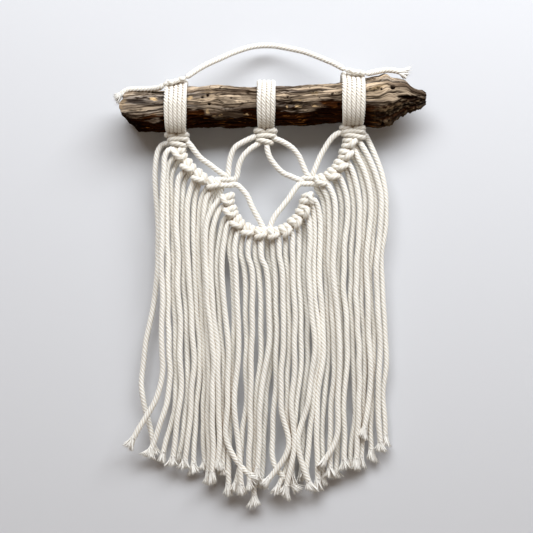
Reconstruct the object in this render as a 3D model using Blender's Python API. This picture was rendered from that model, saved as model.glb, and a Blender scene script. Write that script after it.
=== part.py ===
"""Macrame wall hanging on a driftwood branch, with the cord it hangs by.

Frame: +X to the viewer's right, +Z up, -Y towards the viewer, so the wall is behind at +Y.
The origin is the underside of the hanger cord where a nail bears.
Every size and place below is in millimetres; MM turns them into metres where a mesh is made.
"""

import math
from collections import namedtuple

import bmesh
import bpy
import numpy as np

MM = 0.001

# ---------------------------------------------------------------- driving sizes
CORD = 4.2  # diameter of the three-ply cotton cord
LAY = 10.5  # length of one full turn of its plies
STRAND_HALF = 1.85  # half the width of a hanging strand's square section
GROOVE = 0.72  # radius in the groove between two plies, as a share of the crest's
SEAT = 0.9  # air between the bark and the cords taken round it

BRANCH_Y = -14.0  # axis of the branch, in front of the nail
KNOT_Y = -16.0  # plane of the square knots, the arches and the side swags
LOWER_Y = -19.0  # plane of the lower swag, which hangs a little in front
LAYER = 4.7  # depth from one layer of strands to the next

BAR_WAIST = 3.6  # radius of a swag bar between two wraps
BAR_CREST = 5.6  # and on top of a wrap
BAR_END = 0.6  # radius of a bar's closed end, as a share of its waist
WRAP = 5.2  # length of one wrap along the bar
FULLNESS = 0.7  # under 1, this makes the wraps rounder and the waists between them tighter
HANGER_KNOT_RADIUS = 3.1  # radius of the hanger's knots on top of a wrap
KNOT_HALF_DEPTH = 5.0  # half the depth of a square knot

STRAP_GROOVE = 0.68  # height of the groove between two cords of a strap, as a share of a cord
STRAP_EDGE = 0.35  # and of a strap's side edge

BRANCH_SIDES = 20
BRANCH_STEP = 9.0
STRAP_SIDES = 24
BAR_SIDES = 8
FINE_STEPS = 24  # steps of a route between two of its given points
ROUTE_STEP = 2.0
STRAND_TOLERANCE = 0.4  # how far the solid of a strand may leave its route

UPPER_Z = -180.0  # heights at which the strand tables give x
MIDDLE_Z = -244.0
LOWER_Z = -284.0
SIDE_SHOULDER_Z = -124.0  # shoulder of a strand of a side swag
LOWER_SHOULDER_DROP = 14.0  # shoulder of a strand of the lower swag, below its root

COTTON = (0.74, 0.68, 0.57, 1.0)
COTTON_DEEP = (0.66, 0.59, 0.47, 1.0)
COTTON_LIGHT = (0.80, 0.75, 0.65, 1.0)
DRIFTWOOD = (0.13, 0.085, 0.06, 1.0)

# ---------------------------------------------------------------- tables
BranchSection = namedtuple("BranchSection", "x top bottom half_depth")
BRANCH = [
    BranchSection(-115.5, -46.0, -53.0, 4.0),
    BranchSection(-113.0, -39.0, -57.0, 11.0),
    BranchSection(-101.0, -37.5, -69.5, 16.0),
    BranchSection(-85.0, -36.0, -69.0, 17.0),
    BranchSection(-61.0, -32.8, -66.8, 17.0),
    BranchSection(-29.0, -32.0, -65.4, 16.5),
    BranchSection(-9.0, -33.6, -64.8, 16.0),
    BranchSection(11.0, -32.8, -64.0, 16.0),
    BranchSection(35.0, -31.6, -63.2, 16.0),
    BranchSection(59.0, -29.6, -62.4, 16.5),
    BranchSection(81.0, -26.4, -63.2, 18.0),
    BranchSection(96.0, -23.2, -66.0, 19.0),
    BranchSection(105.0, -25.5, -61.0, 17.0),
    BranchSection(113.5, -27.5, -53.0, 13.0),
    BranchSection(122.0, -33.0, -49.5, 8.0),
    BranchSection(128.4, -37.5, -45.0, 3.5),
]

# Low swells of the bark: height as a share of the radius, how many go round, length, phase.
Swell = namedtuple("Swell", "height around length phase")
SWELLS = [Swell(0.05, 3, 19.0, 0.0), Swell(0.03, 5, -13.0, 1.0)]

# The cords taken round the branch: left and right edge, and how many lie side by side.
Strap = namedtuple("Strap", "name left right cords knot_rows arches")
# One row of a square knot: its two ends, its height and its thickness.
KnotRow = namedtuple("KnotRow", "left right z height")
# Fullness of a knot row at places from end to end, as shares of its half length and of its size.
KNOT_FORM = [(-1, 0.45), (-0.8, 0.9), (-0.4, 1), (0, 0.82), (0.4, 1), (0.8, 0.9), (1, 0.45)]

# Cords that leave a square knot and arch down to a swag, as (x, z) from the knot on.
LEFT_ARCH = [
    (-64.0, -76.5), (-60.5, -80.0), (-56.0, -86.0), (-52.0, -90.6), (-45.6, -95.2), (-37.0, -101.6),
]
OUTER_LEFT_ARCH = [
    (-7.0, -72.6), (-17.3, -77.4), (-24.4, -81.9), (-28.0, -88.6), (-29.6, -95.7), (-30.0, -104.9),
]
INNER_LEFT_ARCH = [
    (-3.0, -77.5), (-12.5, -83.4), (-18.8, -90.1), (-22.0, -97.6), (-23.4, -105.6),
]
INNER_RIGHT_ARCH = [
    (0.0, -77.5), (2.4, -88.6), (7.8, -96.8), (13.8, -102.4), (20.5, -106.0), (26.8, -107.4),
]
OUTER_RIGHT_ARCH = [
    (4.0, -74.0), (12.8, -77.4), (20.8, -82.4), (26.4, -89.1), (29.8, -96.8), (33.0, -103.8),
]
RIGHT_ARCH = [
    (60.5, -69.5), (55.2, -72.3), (51.2, -76.3), (47.2, -82.4), (43.2, -89.6), (38.4, -101.0),
]

LEFT_KNOT = [
    KnotRow(-81.0, -61.6, -71.2, 5.2),
    KnotRow(-78.4, -61.6, -74.9, 4.8),
    KnotRow(-76.8, -63.6, -78.6, 4.4),
]
MIDDLE_KNOT = [
    KnotRow(-9.6, 8.8, -68.2, 5.2),
    KnotRow(-8.0, 8.0, -72.3, 4.8),
    KnotRow(-7.2, 5.2, -76.3, 4.6),
]
RIGHT_KNOT = [
    KnotRow(58.8, 79.6, -65.7, 4.8),
    KnotRow(59.8, 79.2, -68.8, 4.4),
    KnotRow(61.0, 79.0, -72.0, 4.0),
]
MIDDLE_ARCHES = [OUTER_LEFT_ARCH, INNER_LEFT_ARCH, INNER_RIGHT_ARCH, OUTER_RIGHT_ARCH]
STRAPS = [
    Strap("strap_left", -82.4, -62.4, 5, LEFT_KNOT, [LEFT_ARCH]),
    Strap("strap_middle", -8.2, 8.4, 4, MIDDLE_KNOT, MIDDLE_ARCHES),
    Strap("strap_right", 60.0, 80.4, 5, RIGHT_KNOT, [RIGHT_ARCH]),
]

# Centres of the half-hitch knots along each swag, as (x, z).
LEFT_SWAG = [
    (-69.8, -82.6), (-67.4, -88.8), (-60.8, -96.8), (-52.8, -103.6), (-44.0, -108.6), (-36.0, -110.0),
]
RIGHT_SWAG = [
    (66.8, -76.0), (64.8, -83.0), (60.8, -93.6), (54.4, -101.6), (46.0, -107.2), (38.5, -108.6),
]
LOWER_SWAG = [
    (-30.6, -118.6), (-30.0, -124.0), (-26.8, -136.0), (-19.2, -144.8), (-10.4, -149.4), (0.8, -150.4),
    (13.6, -148.8), (22.8, -141.6), (29.6, -132.6), (32.8, -123.6), (33.2, -118.2),
]
# The two cords side by side that join the arches to a side swag, as (x, z) ends.
LEFT_JOINT = [[(-42.0, -107.6), (-24.6, -107.6)], [(-42.0, -112.2), (-24.2, -112.2)]]
RIGHT_JOINT = [[(44.0, -106.4), (28.0, -106.4)], [(44.0, -111.0), (27.8, -111.0)]]
LOWER_JOINT = [[(-6.8, -147.6), (7.6, -147.6)], [(-6.8, -152.4), (7.6, -152.4)]]
# The cords from the side swags' joints down to the middle of the lower swag.
LEFT_V_CORD = [
    (-22.4, -113.1), (-17.6, -117.2), (-14.4, -121.6), (-12.0, -127.6), (-8.8, -134.0), (-2.0, -146.0),
]
RIGHT_V_CORD = [
    (25.7, -112.1), (21.8, -117.4), (17.9, -123.2), (12.3, -130.4), (7.2, -136.8), (2.6, -146.0),
]

# Hanging strands: where each leaves its knot, its x at the shoulder and at three heights, its tip,
# and its layer (-1 at the back, 0 between, 1 in front).
Strand = namedtuple("Strand", "name root_x root_z shoulder upper middle lower tip_x tip_z layer")
LEFT_STRANDS = [
    Strand("L1", -79.0, -78.6, -87.8, -87.0, -97.0, -98.0, -88.0, -323.0, -1),
    Strand("L2", -73.0, -83.0, -82.6, -81.6, -83.4, -88.5, -109.6, -321.0, 1),
    Strand("L3", -73.5, -90.5, -79.4, -77.8, -79.0, -79.6, -94.4, -330.4, 0),
    Strand("L4", -70.5, -93.0, -75.4, -73.4, -74.2, -73.8, -84.0, -332.0, -1),
    Strand("L5", -65.6, -101.6, -71.4, -69.2, -69.6, -68.8, -76.0, -337.6, 0),
    Strand("L6", -62.0, -103.2, -67.0, -65.2, -66.4, -64.4, -70.4, -334.4, -1),
    Strand("L7", -56.8, -107.2, -62.4, -61.2, -62.0, -60.4, -65.6, -340.0, 0),
    Strand("L8", -53.6, -110.4, -57.4, -57.0, -56.0, -56.4, -59.2, -343.2, -1),
    Strand("L9", -47.2, -114.2, -52.0, -52.4, -51.4, -50.8, -49.6, -341.6, -1),
    Strand("L10", -42.6, -115.0, -48.2, -50.0, -48.4, -46.6, -46.0, -349.6, 0),
    Strand("L11", -38.8, -115.0, -44.6, -46.8, -45.4, -45.6, -43.0, -342.4, -1),
    Strand("L12", -35.6, -115.0, -39.6, -41.6, -40.8, -41.0, -36.0, -343.2, -1),
]
LOWER_STRANDS = [
    Strand("M1", -36.0, -124.0, -46.0, -47.2, -44.4, -43.8, -42.6, -348.8, 1),
    Strand("M2", -34.8, -130.0, -41.6, -42.8, -39.8, -39.4, -37.6, -340.0, 1),
    Strand("M3", -33.0, -139.5, -37.0, -38.4, -35.0, -37.0, -34.6, -344.4, 0),
    Strand("M4", -29.8, -143.0, -33.4, -34.0, -30.4, -32.4, -25.6, -348.0, 1),
    Strand("M5", -26.0, -147.0, -29.4, -28.8, -25.8, -28.6, -30.4, -359.2, 0),
    Strand("M6", -22.4, -149.8, -25.0, -24.4, -21.8, -24.6, -18.4, -359.2, 1),
    Strand("M7", -17.8, -152.0, -20.2, -19.2, -15.6, -15.6, -24.0, -357.6, 0),
    Strand("M8", -13.2, -154.6, -14.2, -12.8, -11.0, -12.2, -13.6, -356.0, 1),
    Strand("M9", -8.6, -156.0, -8.4, -7.4, -5.2, -8.6, -9.6, -368.0, 0),
    Strand("M10", -4.0, -156.6, -3.4, -2.4, -1.4, -5.0, -6.4, -346.4, 1),
    Strand("M11", 0.8, -156.8, 1.8, 3.2, 3.4, 0.0, -3.6, -354.4, -1),
    Strand("M12", 5.4, -156.4, 6.0, 7.4, 8.8, 5.6, 24.6, -356.8, 0),
    Strand("M13", 10.2, -155.4, 10.8, 11.8, 13.4, 11.2, -1.8, -352.8, 1),
    Strand("M14", 15.6, -154.2, 15.8, 16.8, 18.2, 15.8, 9.0, -359.2, 0),
    Strand("M15", 20.6, -150.4, 21.2, 21.8, 23.4, 20.4, 14.6, -360.0, 1),
    Strand("M16", 25.4, -146.6, 26.4, 26.8, 28.6, 24.8, 19.6, -349.6, 0),
    Strand("M17", 29.8, -141.8, 30.8, 30.6, 33.0, 28.0, 28.8, -349.6, -1),
    Strand("M18", 33.2, -137.0, 35.2, 34.8, 38.0, 30.6, 37.0, -356.0, 1),
    Strand("M19", 36.4, -129.8, 38.6, 38.4, 40.2, 36.0, 32.2, -346.4, 0),
    Strand("M20", 38.8, -124.4, 43.2, 43.0, 44.8, 41.2, 41.4, -355.2, 0),
]
RIGHT_STRANDS = [
    Strand("R1", 40.6, -114.4, 45.8, 46.4, 48.6, 45.6, 45.4, -352.0, -1),
    Strand("R2", 45.2, -113.6, 49.8, 50.0, 51.4, 49.8, 50.4, -345.6, 0),
    Strand("R3", 49.4, -111.2, 54.6, 53.6, 55.4, 54.4, 43.2, -337.6, 1),
    Strand("R4", 54.8, -107.8, 60.4, 57.4, 59.4, 57.4, 56.0, -348.0, -1),
    Strand("R5", 58.6, -104.6, 65.0, 61.2, 64.2, 60.8, 63.2, -340.0, 0),
    Strand("R6", 63.8, -98.6, 70.0, 65.8, 68.2, 65.2, 67.4, -340.0, -1),
    Strand("R7", 66.4, -95.6, 74.6, 70.8, 72.4, 69.2, 71.2, -339.2, 0),
    Strand("R8", 69.4, -89.0, 79.6, 75.2, 76.4, 72.4, 75.6, -338.4, -1),
    Strand("R9", 70.6, -84.4, 84.0, 79.4, 80.4, 77.4, 77.6, -314.4, 0),
    Strand("R10", 70.8, -80.2, 88.2, 83.8, 85.0, 81.6, 84.8, -332.0, -1),
    Strand("R11", 73.8, -76.8, 92.4, 88.0, 90.4, 87.4, 92.0, -325.6, 0),
    Strand("R12", 79.4, -71.8, 96.6, 92.6, 96.4, 94.0, 96.0, -320.8, -1),
]
# Further places that a few strands pass through, as (x, z): hips near the knots, and flicked ends.
BENDS = {
    "L1": [(-85.6, -83.0), (-88.8, -94.0), (-101.0, -269.0)],
    "L2": [(-79.6, -88.0), (-82.6, -100.0)],
    "L3": [(-77.6, -98.0)],
    "L4": [(-73.6, -103.0)],
    "M12": [(6.4, -333.0)],
    "M13": [(17.4, -322.0)],
    "M14": [(18.6, -326.0)],
    "M15": [(22.0, -324.0)],
    "M18": [(25.4, -318.0)],
    "R3": [(55.6, -316.0)],
    "R8": [(74.0, -98.0)],
    "R9": [(77.0, -96.0)],
    "R10": [(78.6, -90.0)],
    "R11": [(83.4, -91.0)],
    "R12": [(85.6, -78.0), (91.6, -96.0)],
}
# The outermost strands come straight out of a square knot instead of a swag.
KNOT_STRANDS = {"strap_left": ("L1", (-74.0, -77.4)), "strap_right": ("R12", (75.0, -70.6))}

# The hanger, as (x, y, z) along its centre line: over the nail at the origin, and down to each strap.
NAIL_REST = CORD / 2
HANGER_ARCH = [
    (-63.4, -27.3, -27.8), (-59.6, -25.4, -24.6), (-49.8, -20.8, -17.6), (-37.6, -15.2, -11.0),
    (-25.2, -9.2, -4.6), (-13.0, -3.6, 0.2), (-5.0, -0.5, NAIL_REST - 0.2), (0.0, 0.0, NAIL_REST),
    (6.0, -0.5, NAIL_REST - 0.3), (17.0, -4.2, -0.6), (31.0, -9.8, -4.6), (44.6, -16.4, -10.8),
    (55.4, -22.0, -16.4), (62.5, -26.4, -21.3),
]
LEFT_TAIL = [
    (-81.6, -27.4, -29.8), (-84.8, -25.4, -31.6), (-89.5, -22.6, -34.0), (-96.0, -19.6, -35.2),
    (-104.0, -17.2, -35.6), (-111.0, -15.6, -36.0), (-117.6, -15.0, -38.2),
]
RIGHT_TAIL = [
    (78.9, -27.4, -23.6), (82.8, -24.6, -23.4), (87.0, -20.8, -22.6), (91.4, -18.2, -21.9),
    (97.0, -16.4, -20.9), (104.0, -15.4, -20.8), (111.6, -15.2, -21.4),
]
HangerKnot = namedtuple("HangerKnot", "name left right y z")
HANGER_KNOTS = [
    HangerKnot("hanger_knot_left", -80.2, -65.0, -28.6, -29.0),
    HangerKnot("hanger_knot_right", 63.4, 77.8, -28.6, -22.8),
]


# ---------------------------------------------------------------- routes
def smooth_route(points, spacing):
    """Evenly spaced points on a Catmull-Rom curve through the given ones."""
    points = np.array(points, dtype=float)
    padded = np.vstack([2 * points[0] - points[1], points, 2 * points[-1] - points[-2]])
    knots = np.concatenate([[0.0], np.cumsum(np.sqrt(np.linalg.norm(np.diff(padded, axis=0), axis=1)))])
    fine = []
    for i in range(1, len(padded) - 2):
        p, k = padded[i - 1 : i + 3], knots[i - 1 : i + 3]
        for t in np.linspace(k[1], k[2], FINE_STEPS, endpoint=False):
            a = [((k[j + 1] - t) * p[j] + (t - k[j]) * p[j + 1]) / (k[j + 1] - k[j]) for j in range(3)]
            b = [((k[j + 2] - t) * a[j] + (t - k[j]) * a[j + 1]) / (k[j + 2] - k[j]) for j in range(2)]
            fine.append(((k[2] - t) * b[0] + (t - k[1]) * b[1]) / (k[2] - k[1]))
    fine = np.array(fine + [points[-1]])
    run = np.concatenate([[0.0], np.cumsum(np.linalg.norm(np.diff(fine, axis=0), axis=1))])
    marks = np.linspace(0.0, run[-1], max(2, math.ceil(run[-1] / spacing)) + 1)
    return np.column_stack([np.interp(marks, run, fine[:, axis]) for axis in range(3)])


def thinned(path, tolerance):
    """The path with the points left out that lie within the tolerance of straight runs."""
    if len(path) < 3:
        return path
    chord = path[-1] - path[0]
    offsets = path - path[0]
    along = np.clip(offsets @ chord / (chord @ chord), 0.0, 1.0)
    away = np.linalg.norm(offsets - np.outer(along, chord), axis=1)
    worst = int(np.argmax(away))
    if away[worst] < tolerance:
        return path[[0, -1]]
    return np.vstack([thinned(path[: worst + 1], tolerance)[:-1], thinned(path[worst:], tolerance)])


def at_depth(points, y):
    """Points given as (x, z), set at one depth."""
    return [(x, y, z) for x, z in points]


def nearest(path, x, z):
    """The point of a path that is nearest to (x, z) seen from the front."""
    path = np.array(path)
    return path[np.argmin(np.hypot(path[:, 0] - x, path[:, 2] - z))]


def strand_route(strand, start, start_y, shoulder_z):
    """Centre line of a hanging strand, from inside its knot down to its tip."""
    depth = KNOT_Y - strand.layer * LAYER
    hanging = [
        (strand.shoulder, shoulder_z),
        (strand.upper, UPPER_Z),
        (strand.middle, MIDDLE_Z),
        (strand.lower, LOWER_Z),
        (strand.tip_x, strand.tip_z),
    ]
    hanging = sorted(hanging + BENDS.get(strand.name, []), key=lambda point: -point[1])
    root = (strand.root_x, (start_y + depth) / 2, strand.root_z)
    return smooth_route([(start[0], start_y, start[1]), root] + at_depth(hanging, depth), ROUTE_STEP)


# ---------------------------------------------------------------- shells
def shell(points_by_ring, closed_ring=False):
    """(vertices, faces) of a closed surface through rings of points."""
    rings = len(points_by_ring)
    around = len(points_by_ring[0])
    vertices = [tuple(point) for ring in points_by_ring for point in ring]
    faces = []
    for r in range(rings if closed_ring else rings - 1):
        here, there = r * around, (r + 1) % rings * around
        for i in range(around):
            j = (i + 1) % around
            faces.append((here + i, here + j, there + j, there + i))
    if not closed_ring:
        faces.append(tuple(range(around))[::-1])
        faces.append(tuple(range((rings - 1) * around, rings * around)))
    return vertices, faces


def swept(path, profile):
    """A closed surface along a path; profile(ring, run) gives its (side, front) offsets."""
    tangents = np.gradient(path, axis=0)
    tangents /= np.linalg.norm(tangents, axis=1)[:, None]
    run = np.concatenate([[0.0], np.cumsum(np.linalg.norm(np.diff(path, axis=0), axis=1))])
    rings = []
    for ring, (centre, tangent) in enumerate(zip(path, tangents)):
        side = np.cross(tangent, (0.0, -1.0, 0.0))
        side /= np.linalg.norm(side)
        front = np.cross(side, tangent)
        rings.append([centre + side * s + front * f for s, f in profile(ring, run[ring])])
    return shell(rings)


def circle(radius, sides, turn=0.0):
    """(side, front) offsets of a regular section."""
    angles = [turn + 2 * math.pi * i / sides for i in range(sides)]
    return [(radius * math.cos(a), radius * math.sin(a)) for a in angles]


def twisted_cord(points):
    """A three-ply cord with its twist raised, five rings to a turn."""
    path = smooth_route(points, LAY / 5)
    crest = CORD / 2

    def profile(ring, run):
        turn = -2 * math.pi * run / LAY
        section = []
        for i in range(6):
            radius = GROOVE * crest if i % 2 else crest
            angle = turn + math.pi * i / 3
            section.append((radius * math.cos(angle), radius * math.sin(angle)))
        return section

    return swept(path, profile)


def square_strand(path):
    """A hanging strand with four sides, flat to the front and to its neighbours."""
    h = STRAND_HALF
    corners = [(h, -h), (h, h), (-h, h), (-h, -h)]
    return swept(thinned(path, STRAND_TOLERANCE), lambda ring, run: corners)


def wrapped_bar(path, wrap, waist, crest, end):
    """A bar with one ridge for each wrap of the cord round it, closed at both ends."""
    last = len(path) - 1

    def profile(ring, run):
        if ring in (0, last):
            return circle(end, BAR_SIDES, math.pi / BAR_SIDES)
        bulge = abs(math.sin(math.pi * run / wrap)) ** FULLNESS
        return circle(waist + (crest - waist) * bulge, BAR_SIDES, math.pi / BAR_SIDES)

    return swept(path, profile)


def knot_row(row, y, half_depth):
    """One row of a square knot: a rounded ridge across, fuller in its two halves."""
    middle = (row.left + row.right) / 2
    half = (row.right - row.left) / 2
    rings = []
    for share, size in KNOT_FORM:
        x = middle + share * half
        oval = circle(size, BAR_SIDES, math.pi / BAR_SIDES)
        rings.append([(x, y + half_depth * a, row.z + row.height / 2 * b) for a, b in oval])
    return shell(rings)


# ---------------------------------------------------------------- the branch
def branch_section(x):
    """Top, bottom and half depth of the branch at x."""
    xs, *fields = zip(*BRANCH)
    return [np.interp(x, xs, values) for values in fields]


def bark_point(x, angle):
    """A point of the branch's surface, as (y, z); the angle runs from +Y over the top."""
    top, bottom, half_depth = branch_section(x)
    lumps = sum(s.height * math.sin(s.around * angle + x / s.length + s.phase) for s in SWELLS)
    swell = 1 + abs(math.cos(angle)) * lumps
    half_height = (top - bottom) / 2
    y = BRANCH_Y + half_depth * swell * math.cos(angle)
    z = (top + bottom) / 2 + half_height * swell * math.sin(angle)
    return y, z


def branch_shell():
    """The driftwood, lofted through its sections, with blunt broken ends."""
    given = [section.x for section in BRANCH]
    left_end, right_end = given[:3], given[-4:]
    between = np.arange(left_end[-1] + BRANCH_STEP, right_end[0], BRANCH_STEP)
    stations = [*left_end, *between, *right_end]
    angles = [2 * math.pi * i / BRANCH_SIDES for i in range(BRANCH_SIDES)]
    rings = [[(x, *bark_point(x, a)) for a in angles] for x in stations]
    return shell(rings)


# ---------------------------------------------------------------- straps and knots
def strap_edge(strap):
    """A strap's section from edge to edge, as (x, height over its seat)."""
    width = (strap.right - strap.left) / strap.cords
    across = [(strap.left, 0.0), (strap.left, STRAP_EDGE * CORD)]
    for i in range(strap.cords):
        across.append((strap.left + (i + 0.5) * width, CORD))
        across.append((strap.left + (i + 1) * width, STRAP_GROOVE * CORD))
    across[-1] = (strap.right, STRAP_EDGE * CORD)
    return across + [(strap.right, 0.0)]


def strap_shell(strap):
    """The cords of one strap, side by side round the branch, as a closed ridged band."""
    top, bottom, _ = branch_section((strap.left + strap.right) / 2)
    centre = np.array((BRANCH_Y, (top + bottom) / 2))
    half_step = math.pi / STRAP_SIDES
    bark_x = np.arange(strap.left - 2, strap.right + 3, 1.5)
    rings = []
    for i in range(STRAP_SIDES):
        angle = 2 * half_step * i
        out = np.array((math.cos(angle), math.sin(angle)))
        turns = np.linspace(angle - half_step, angle + half_step, 5)
        farthest = max((np.array(bark_point(x, turn)) - centre) @ out for x in bark_x for turn in turns)
        seat = farthest / math.cos(half_step) + SEAT
        rings.append([(x, *(centre + out * (seat + height))) for x, height in strap_edge(strap)])
    return shell(rings, closed_ring=True)


# ---------------------------------------------------------------- objects
def clear_scene():
    for obj in list(bpy.data.objects):
        bpy.data.objects.remove(obj)


def material(name, colour, roughness):
    """A plain Principled material."""
    made = bpy.data.materials.new(name)
    made.use_nodes = True
    shader = made.node_tree.nodes["Principled BSDF"]
    shader.inputs["Base Color"].default_value = colour
    shader.inputs["Roughness"].default_value = roughness
    shader.inputs["Metallic"].default_value = 0.0
    return made


def mesh_object(name, vertices, faces):
    """A mesh object from millimetres, its faces turned outwards."""
    mesh = bpy.data.meshes.new(name)
    mesh.from_pydata([tuple(MM * value for value in vertex) for vertex in vertices], [], faces)
    shape = bmesh.new()
    shape.from_mesh(mesh)
    bmesh.ops.recalc_face_normals(shape, faces=shape.faces)
    shape.to_mesh(mesh)
    shape.free()
    obj = bpy.data.objects.new(name, mesh)
    bpy.context.scene.collection.objects.link(obj)
    return obj


def piece(name, shells, colour, roughness=0.95):
    """One named object: its shells united into a single closed body."""
    first, *rest = [mesh_object(name, *each) for each in shells]
    for other in rest:
        union = first.modifiers.new("union", "BOOLEAN")
        union.operation = "UNION"
        union.object = other
    united = bpy.data.meshes.new_from_object(first.evaluated_get(bpy.context.evaluated_depsgraph_get()))
    first.modifiers.clear()
    first.data = united
    for other in rest:
        bpy.data.objects.remove(other)
    first.name = name
    united.name = name
    united.materials.clear()
    united.materials.append(material(name, colour, roughness))
    united.shade_smooth()
    united.set_sharp_from_angle(angle=math.radians(40))
    return first


def strand_named(name):
    return next(strand for strand in LEFT_STRANDS + RIGHT_STRANDS if strand.name == name)


def build_straps():
    """Each strap with its square knot, its arched cords and, at the outer knots, one strand."""
    for strap in STRAPS:
        shells = [strap_shell(strap)]
        shells += [knot_row(row, KNOT_Y, KNOT_HALF_DEPTH) for row in strap.knot_rows]
        shells += [twisted_cord(at_depth(arch, KNOT_Y)) for arch in strap.arches]
        if strap.name in KNOT_STRANDS:
            name, start = KNOT_STRANDS[strap.name]
            route = strand_route(strand_named(name), start, KNOT_Y, SIDE_SHOULDER_Z)
            shells.append(square_strand(route))
        piece(strap.name, shells, COTTON_LIGHT)


def build_swag(name, knots, joints, cords, strands, y, colour):
    """A bar of half-hitch knots with its joint cords and the strands that hang from it."""
    bar = smooth_route(at_depth(knots, y), WRAP / 4)
    shells = [wrapped_bar(bar, WRAP, BAR_WAIST, BAR_CREST, BAR_END * BAR_WAIST)]
    shells += [twisted_cord(at_depth(joint, y)) for joint in joints]
    shells += [twisted_cord(cord) for cord in cords]
    for strand in strands:
        start = nearest(bar, strand.root_x, strand.root_z)
        shoulder = SIDE_SHOULDER_Z if y == KNOT_Y else strand.root_z - LOWER_SHOULDER_DROP
        shells.append(square_strand(strand_route(strand, (start[0], start[2]), y, shoulder)))
    piece(name, shells, colour)


def v_cord(points):
    """A cord that runs from a side swag's plane forward to the lower swag's."""
    steps = np.linspace(KNOT_Y, LOWER_Y, len(points))
    return [(x, y, z) for (x, z), y in zip(points, steps)]


def build_hanger():
    """The cord over the nail, its knots on the straps and its two tails."""
    piece("hanger_arch", [twisted_cord(HANGER_ARCH)], COTTON)
    piece("hanger_tail_left", [twisted_cord(LEFT_TAIL)], COTTON)
    piece("hanger_tail_right", [twisted_cord(RIGHT_TAIL)], COTTON)
    for knot in HANGER_KNOTS:
        path = smooth_route([(knot.left, knot.y, knot.z), (knot.right, knot.y, knot.z)], WRAP / 4)
        length = knot.right - knot.left
        wrap = length / round(length / WRAP)
        waist = GROOVE * HANGER_KNOT_RADIUS
        piece(knot.name, [wrapped_bar(path, wrap, waist, HANGER_KNOT_RADIUS, waist)], COTTON_LIGHT)


def main():
    clear_scene()
    piece("driftwood_branch", [branch_shell()], DRIFTWOOD, 0.85)
    build_straps()
    in_straps = [name for name, _ in KNOT_STRANDS.values()]
    left = [strand for strand in LEFT_STRANDS if strand.name not in in_straps]
    right = [strand for strand in RIGHT_STRANDS if strand.name not in in_straps]
    build_swag("swag_left", LEFT_SWAG, LEFT_JOINT, [], left, KNOT_Y, COTTON)
    build_swag("swag_right", RIGHT_SWAG, RIGHT_JOINT, [], right, KNOT_Y, COTTON)
    v_cords = [v_cord(LEFT_V_CORD), v_cord(RIGHT_V_CORD)]
    build_swag("swag_lower", LOWER_SWAG, LOWER_JOINT, v_cords, LOWER_STRANDS, LOWER_Y, COTTON_DEEP)
    build_hanger()


main()
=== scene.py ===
import math
from collections import namedtuple

import bpy
import numpy as np
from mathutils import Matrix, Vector, noise


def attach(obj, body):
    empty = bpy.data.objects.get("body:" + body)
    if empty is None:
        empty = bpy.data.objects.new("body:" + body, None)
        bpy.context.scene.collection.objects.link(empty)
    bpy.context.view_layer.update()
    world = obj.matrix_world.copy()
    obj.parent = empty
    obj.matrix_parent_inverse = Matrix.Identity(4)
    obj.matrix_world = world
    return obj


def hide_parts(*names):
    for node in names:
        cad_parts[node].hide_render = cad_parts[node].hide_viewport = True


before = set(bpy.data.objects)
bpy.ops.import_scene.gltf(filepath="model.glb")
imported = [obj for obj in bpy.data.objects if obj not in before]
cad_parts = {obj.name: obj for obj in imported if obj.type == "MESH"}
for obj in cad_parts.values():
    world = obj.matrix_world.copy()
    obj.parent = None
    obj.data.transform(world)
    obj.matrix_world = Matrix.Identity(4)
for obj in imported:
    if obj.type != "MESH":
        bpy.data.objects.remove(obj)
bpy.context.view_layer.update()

# Looks of the macrame wall hanging: twisted cotton cords, knots, frayed tips and weathered driftwood.
# The frame is the CAD's: +X right, +Z up, -Y towards the viewer. Sizes and places are in millimetres,
# and MM turns them into metres where a mesh is made. The tables follow the part's source, but the left swag
# and some strands lie a few millimetres off it, and slack cords are a little thicker than its solids.
MM = 0.001

# ---------------------------------------------------------------- driving sizes
CORD = 4.2  # diameter of the cotton cord
ROPE = 4.7  # and of a slack one, over the crests of its plies
LAY = 12.4  # length of one full turn of the plies
SEAT = 0.9  # air between the bark and the cords taken round it

BRANCH_Y = -14.0  # axis of the branch, in front of the nail
KNOT_Y = -16.0  # plane of the square knots, the arches and the side swags
LOWER_Y = -19.0  # plane of the lower swag, which hangs a little in front
LAYER = 4.7  # depth from one layer of strands to the next

BAR_CREST = 5.9  # radius of a swag bar on top of a wrap
KNOT_BACK = 2.2  # a square knot's bends are counted from this far behind the knots' plane
KNOT_STRAND_FORWARD = 2.0  # a strand that leaves a square knot starts this far in front of that plane
ARCH_FORWARD = (2.6, 2.6, 1.6, 0.6)  # and so do an arch's first points, to lie over the knot

STRAP_SIDES = 24  # directions in which a strap cord is laid on the bark
STRAP_LAY = 10.6  # length of one full turn of a strap cord's plies
STRAP_RELIEF = 2.5  # depth of its grooves, as a multiple of a slack cord's
STRAP_OVERLAP = 1.13  # its width, as a share of the room that it has
STRAP_SHADE = 26.0  # height above the knot over which a strap's cotton is painted darker down to it: painted shade
STRAP_GATHER = 0.16  # share by which the cords draw together under the branch
FINE_STEPS = 24  # steps of a route between two of its given points
ROUTE_STEP = 2.0  # and its spacing for a hanging strand

UPPER_Z = -180.0  # heights at which the strand tables give x
MIDDLE_Z = -244.0
LOWER_Z = -284.0
SIDE_SHOULDER_Z = -124.0  # shoulder of a strand of a side swag
LOWER_SHOULDER_DROP = 14.0  # shoulder of a strand of the lower swag, below its root

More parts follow.
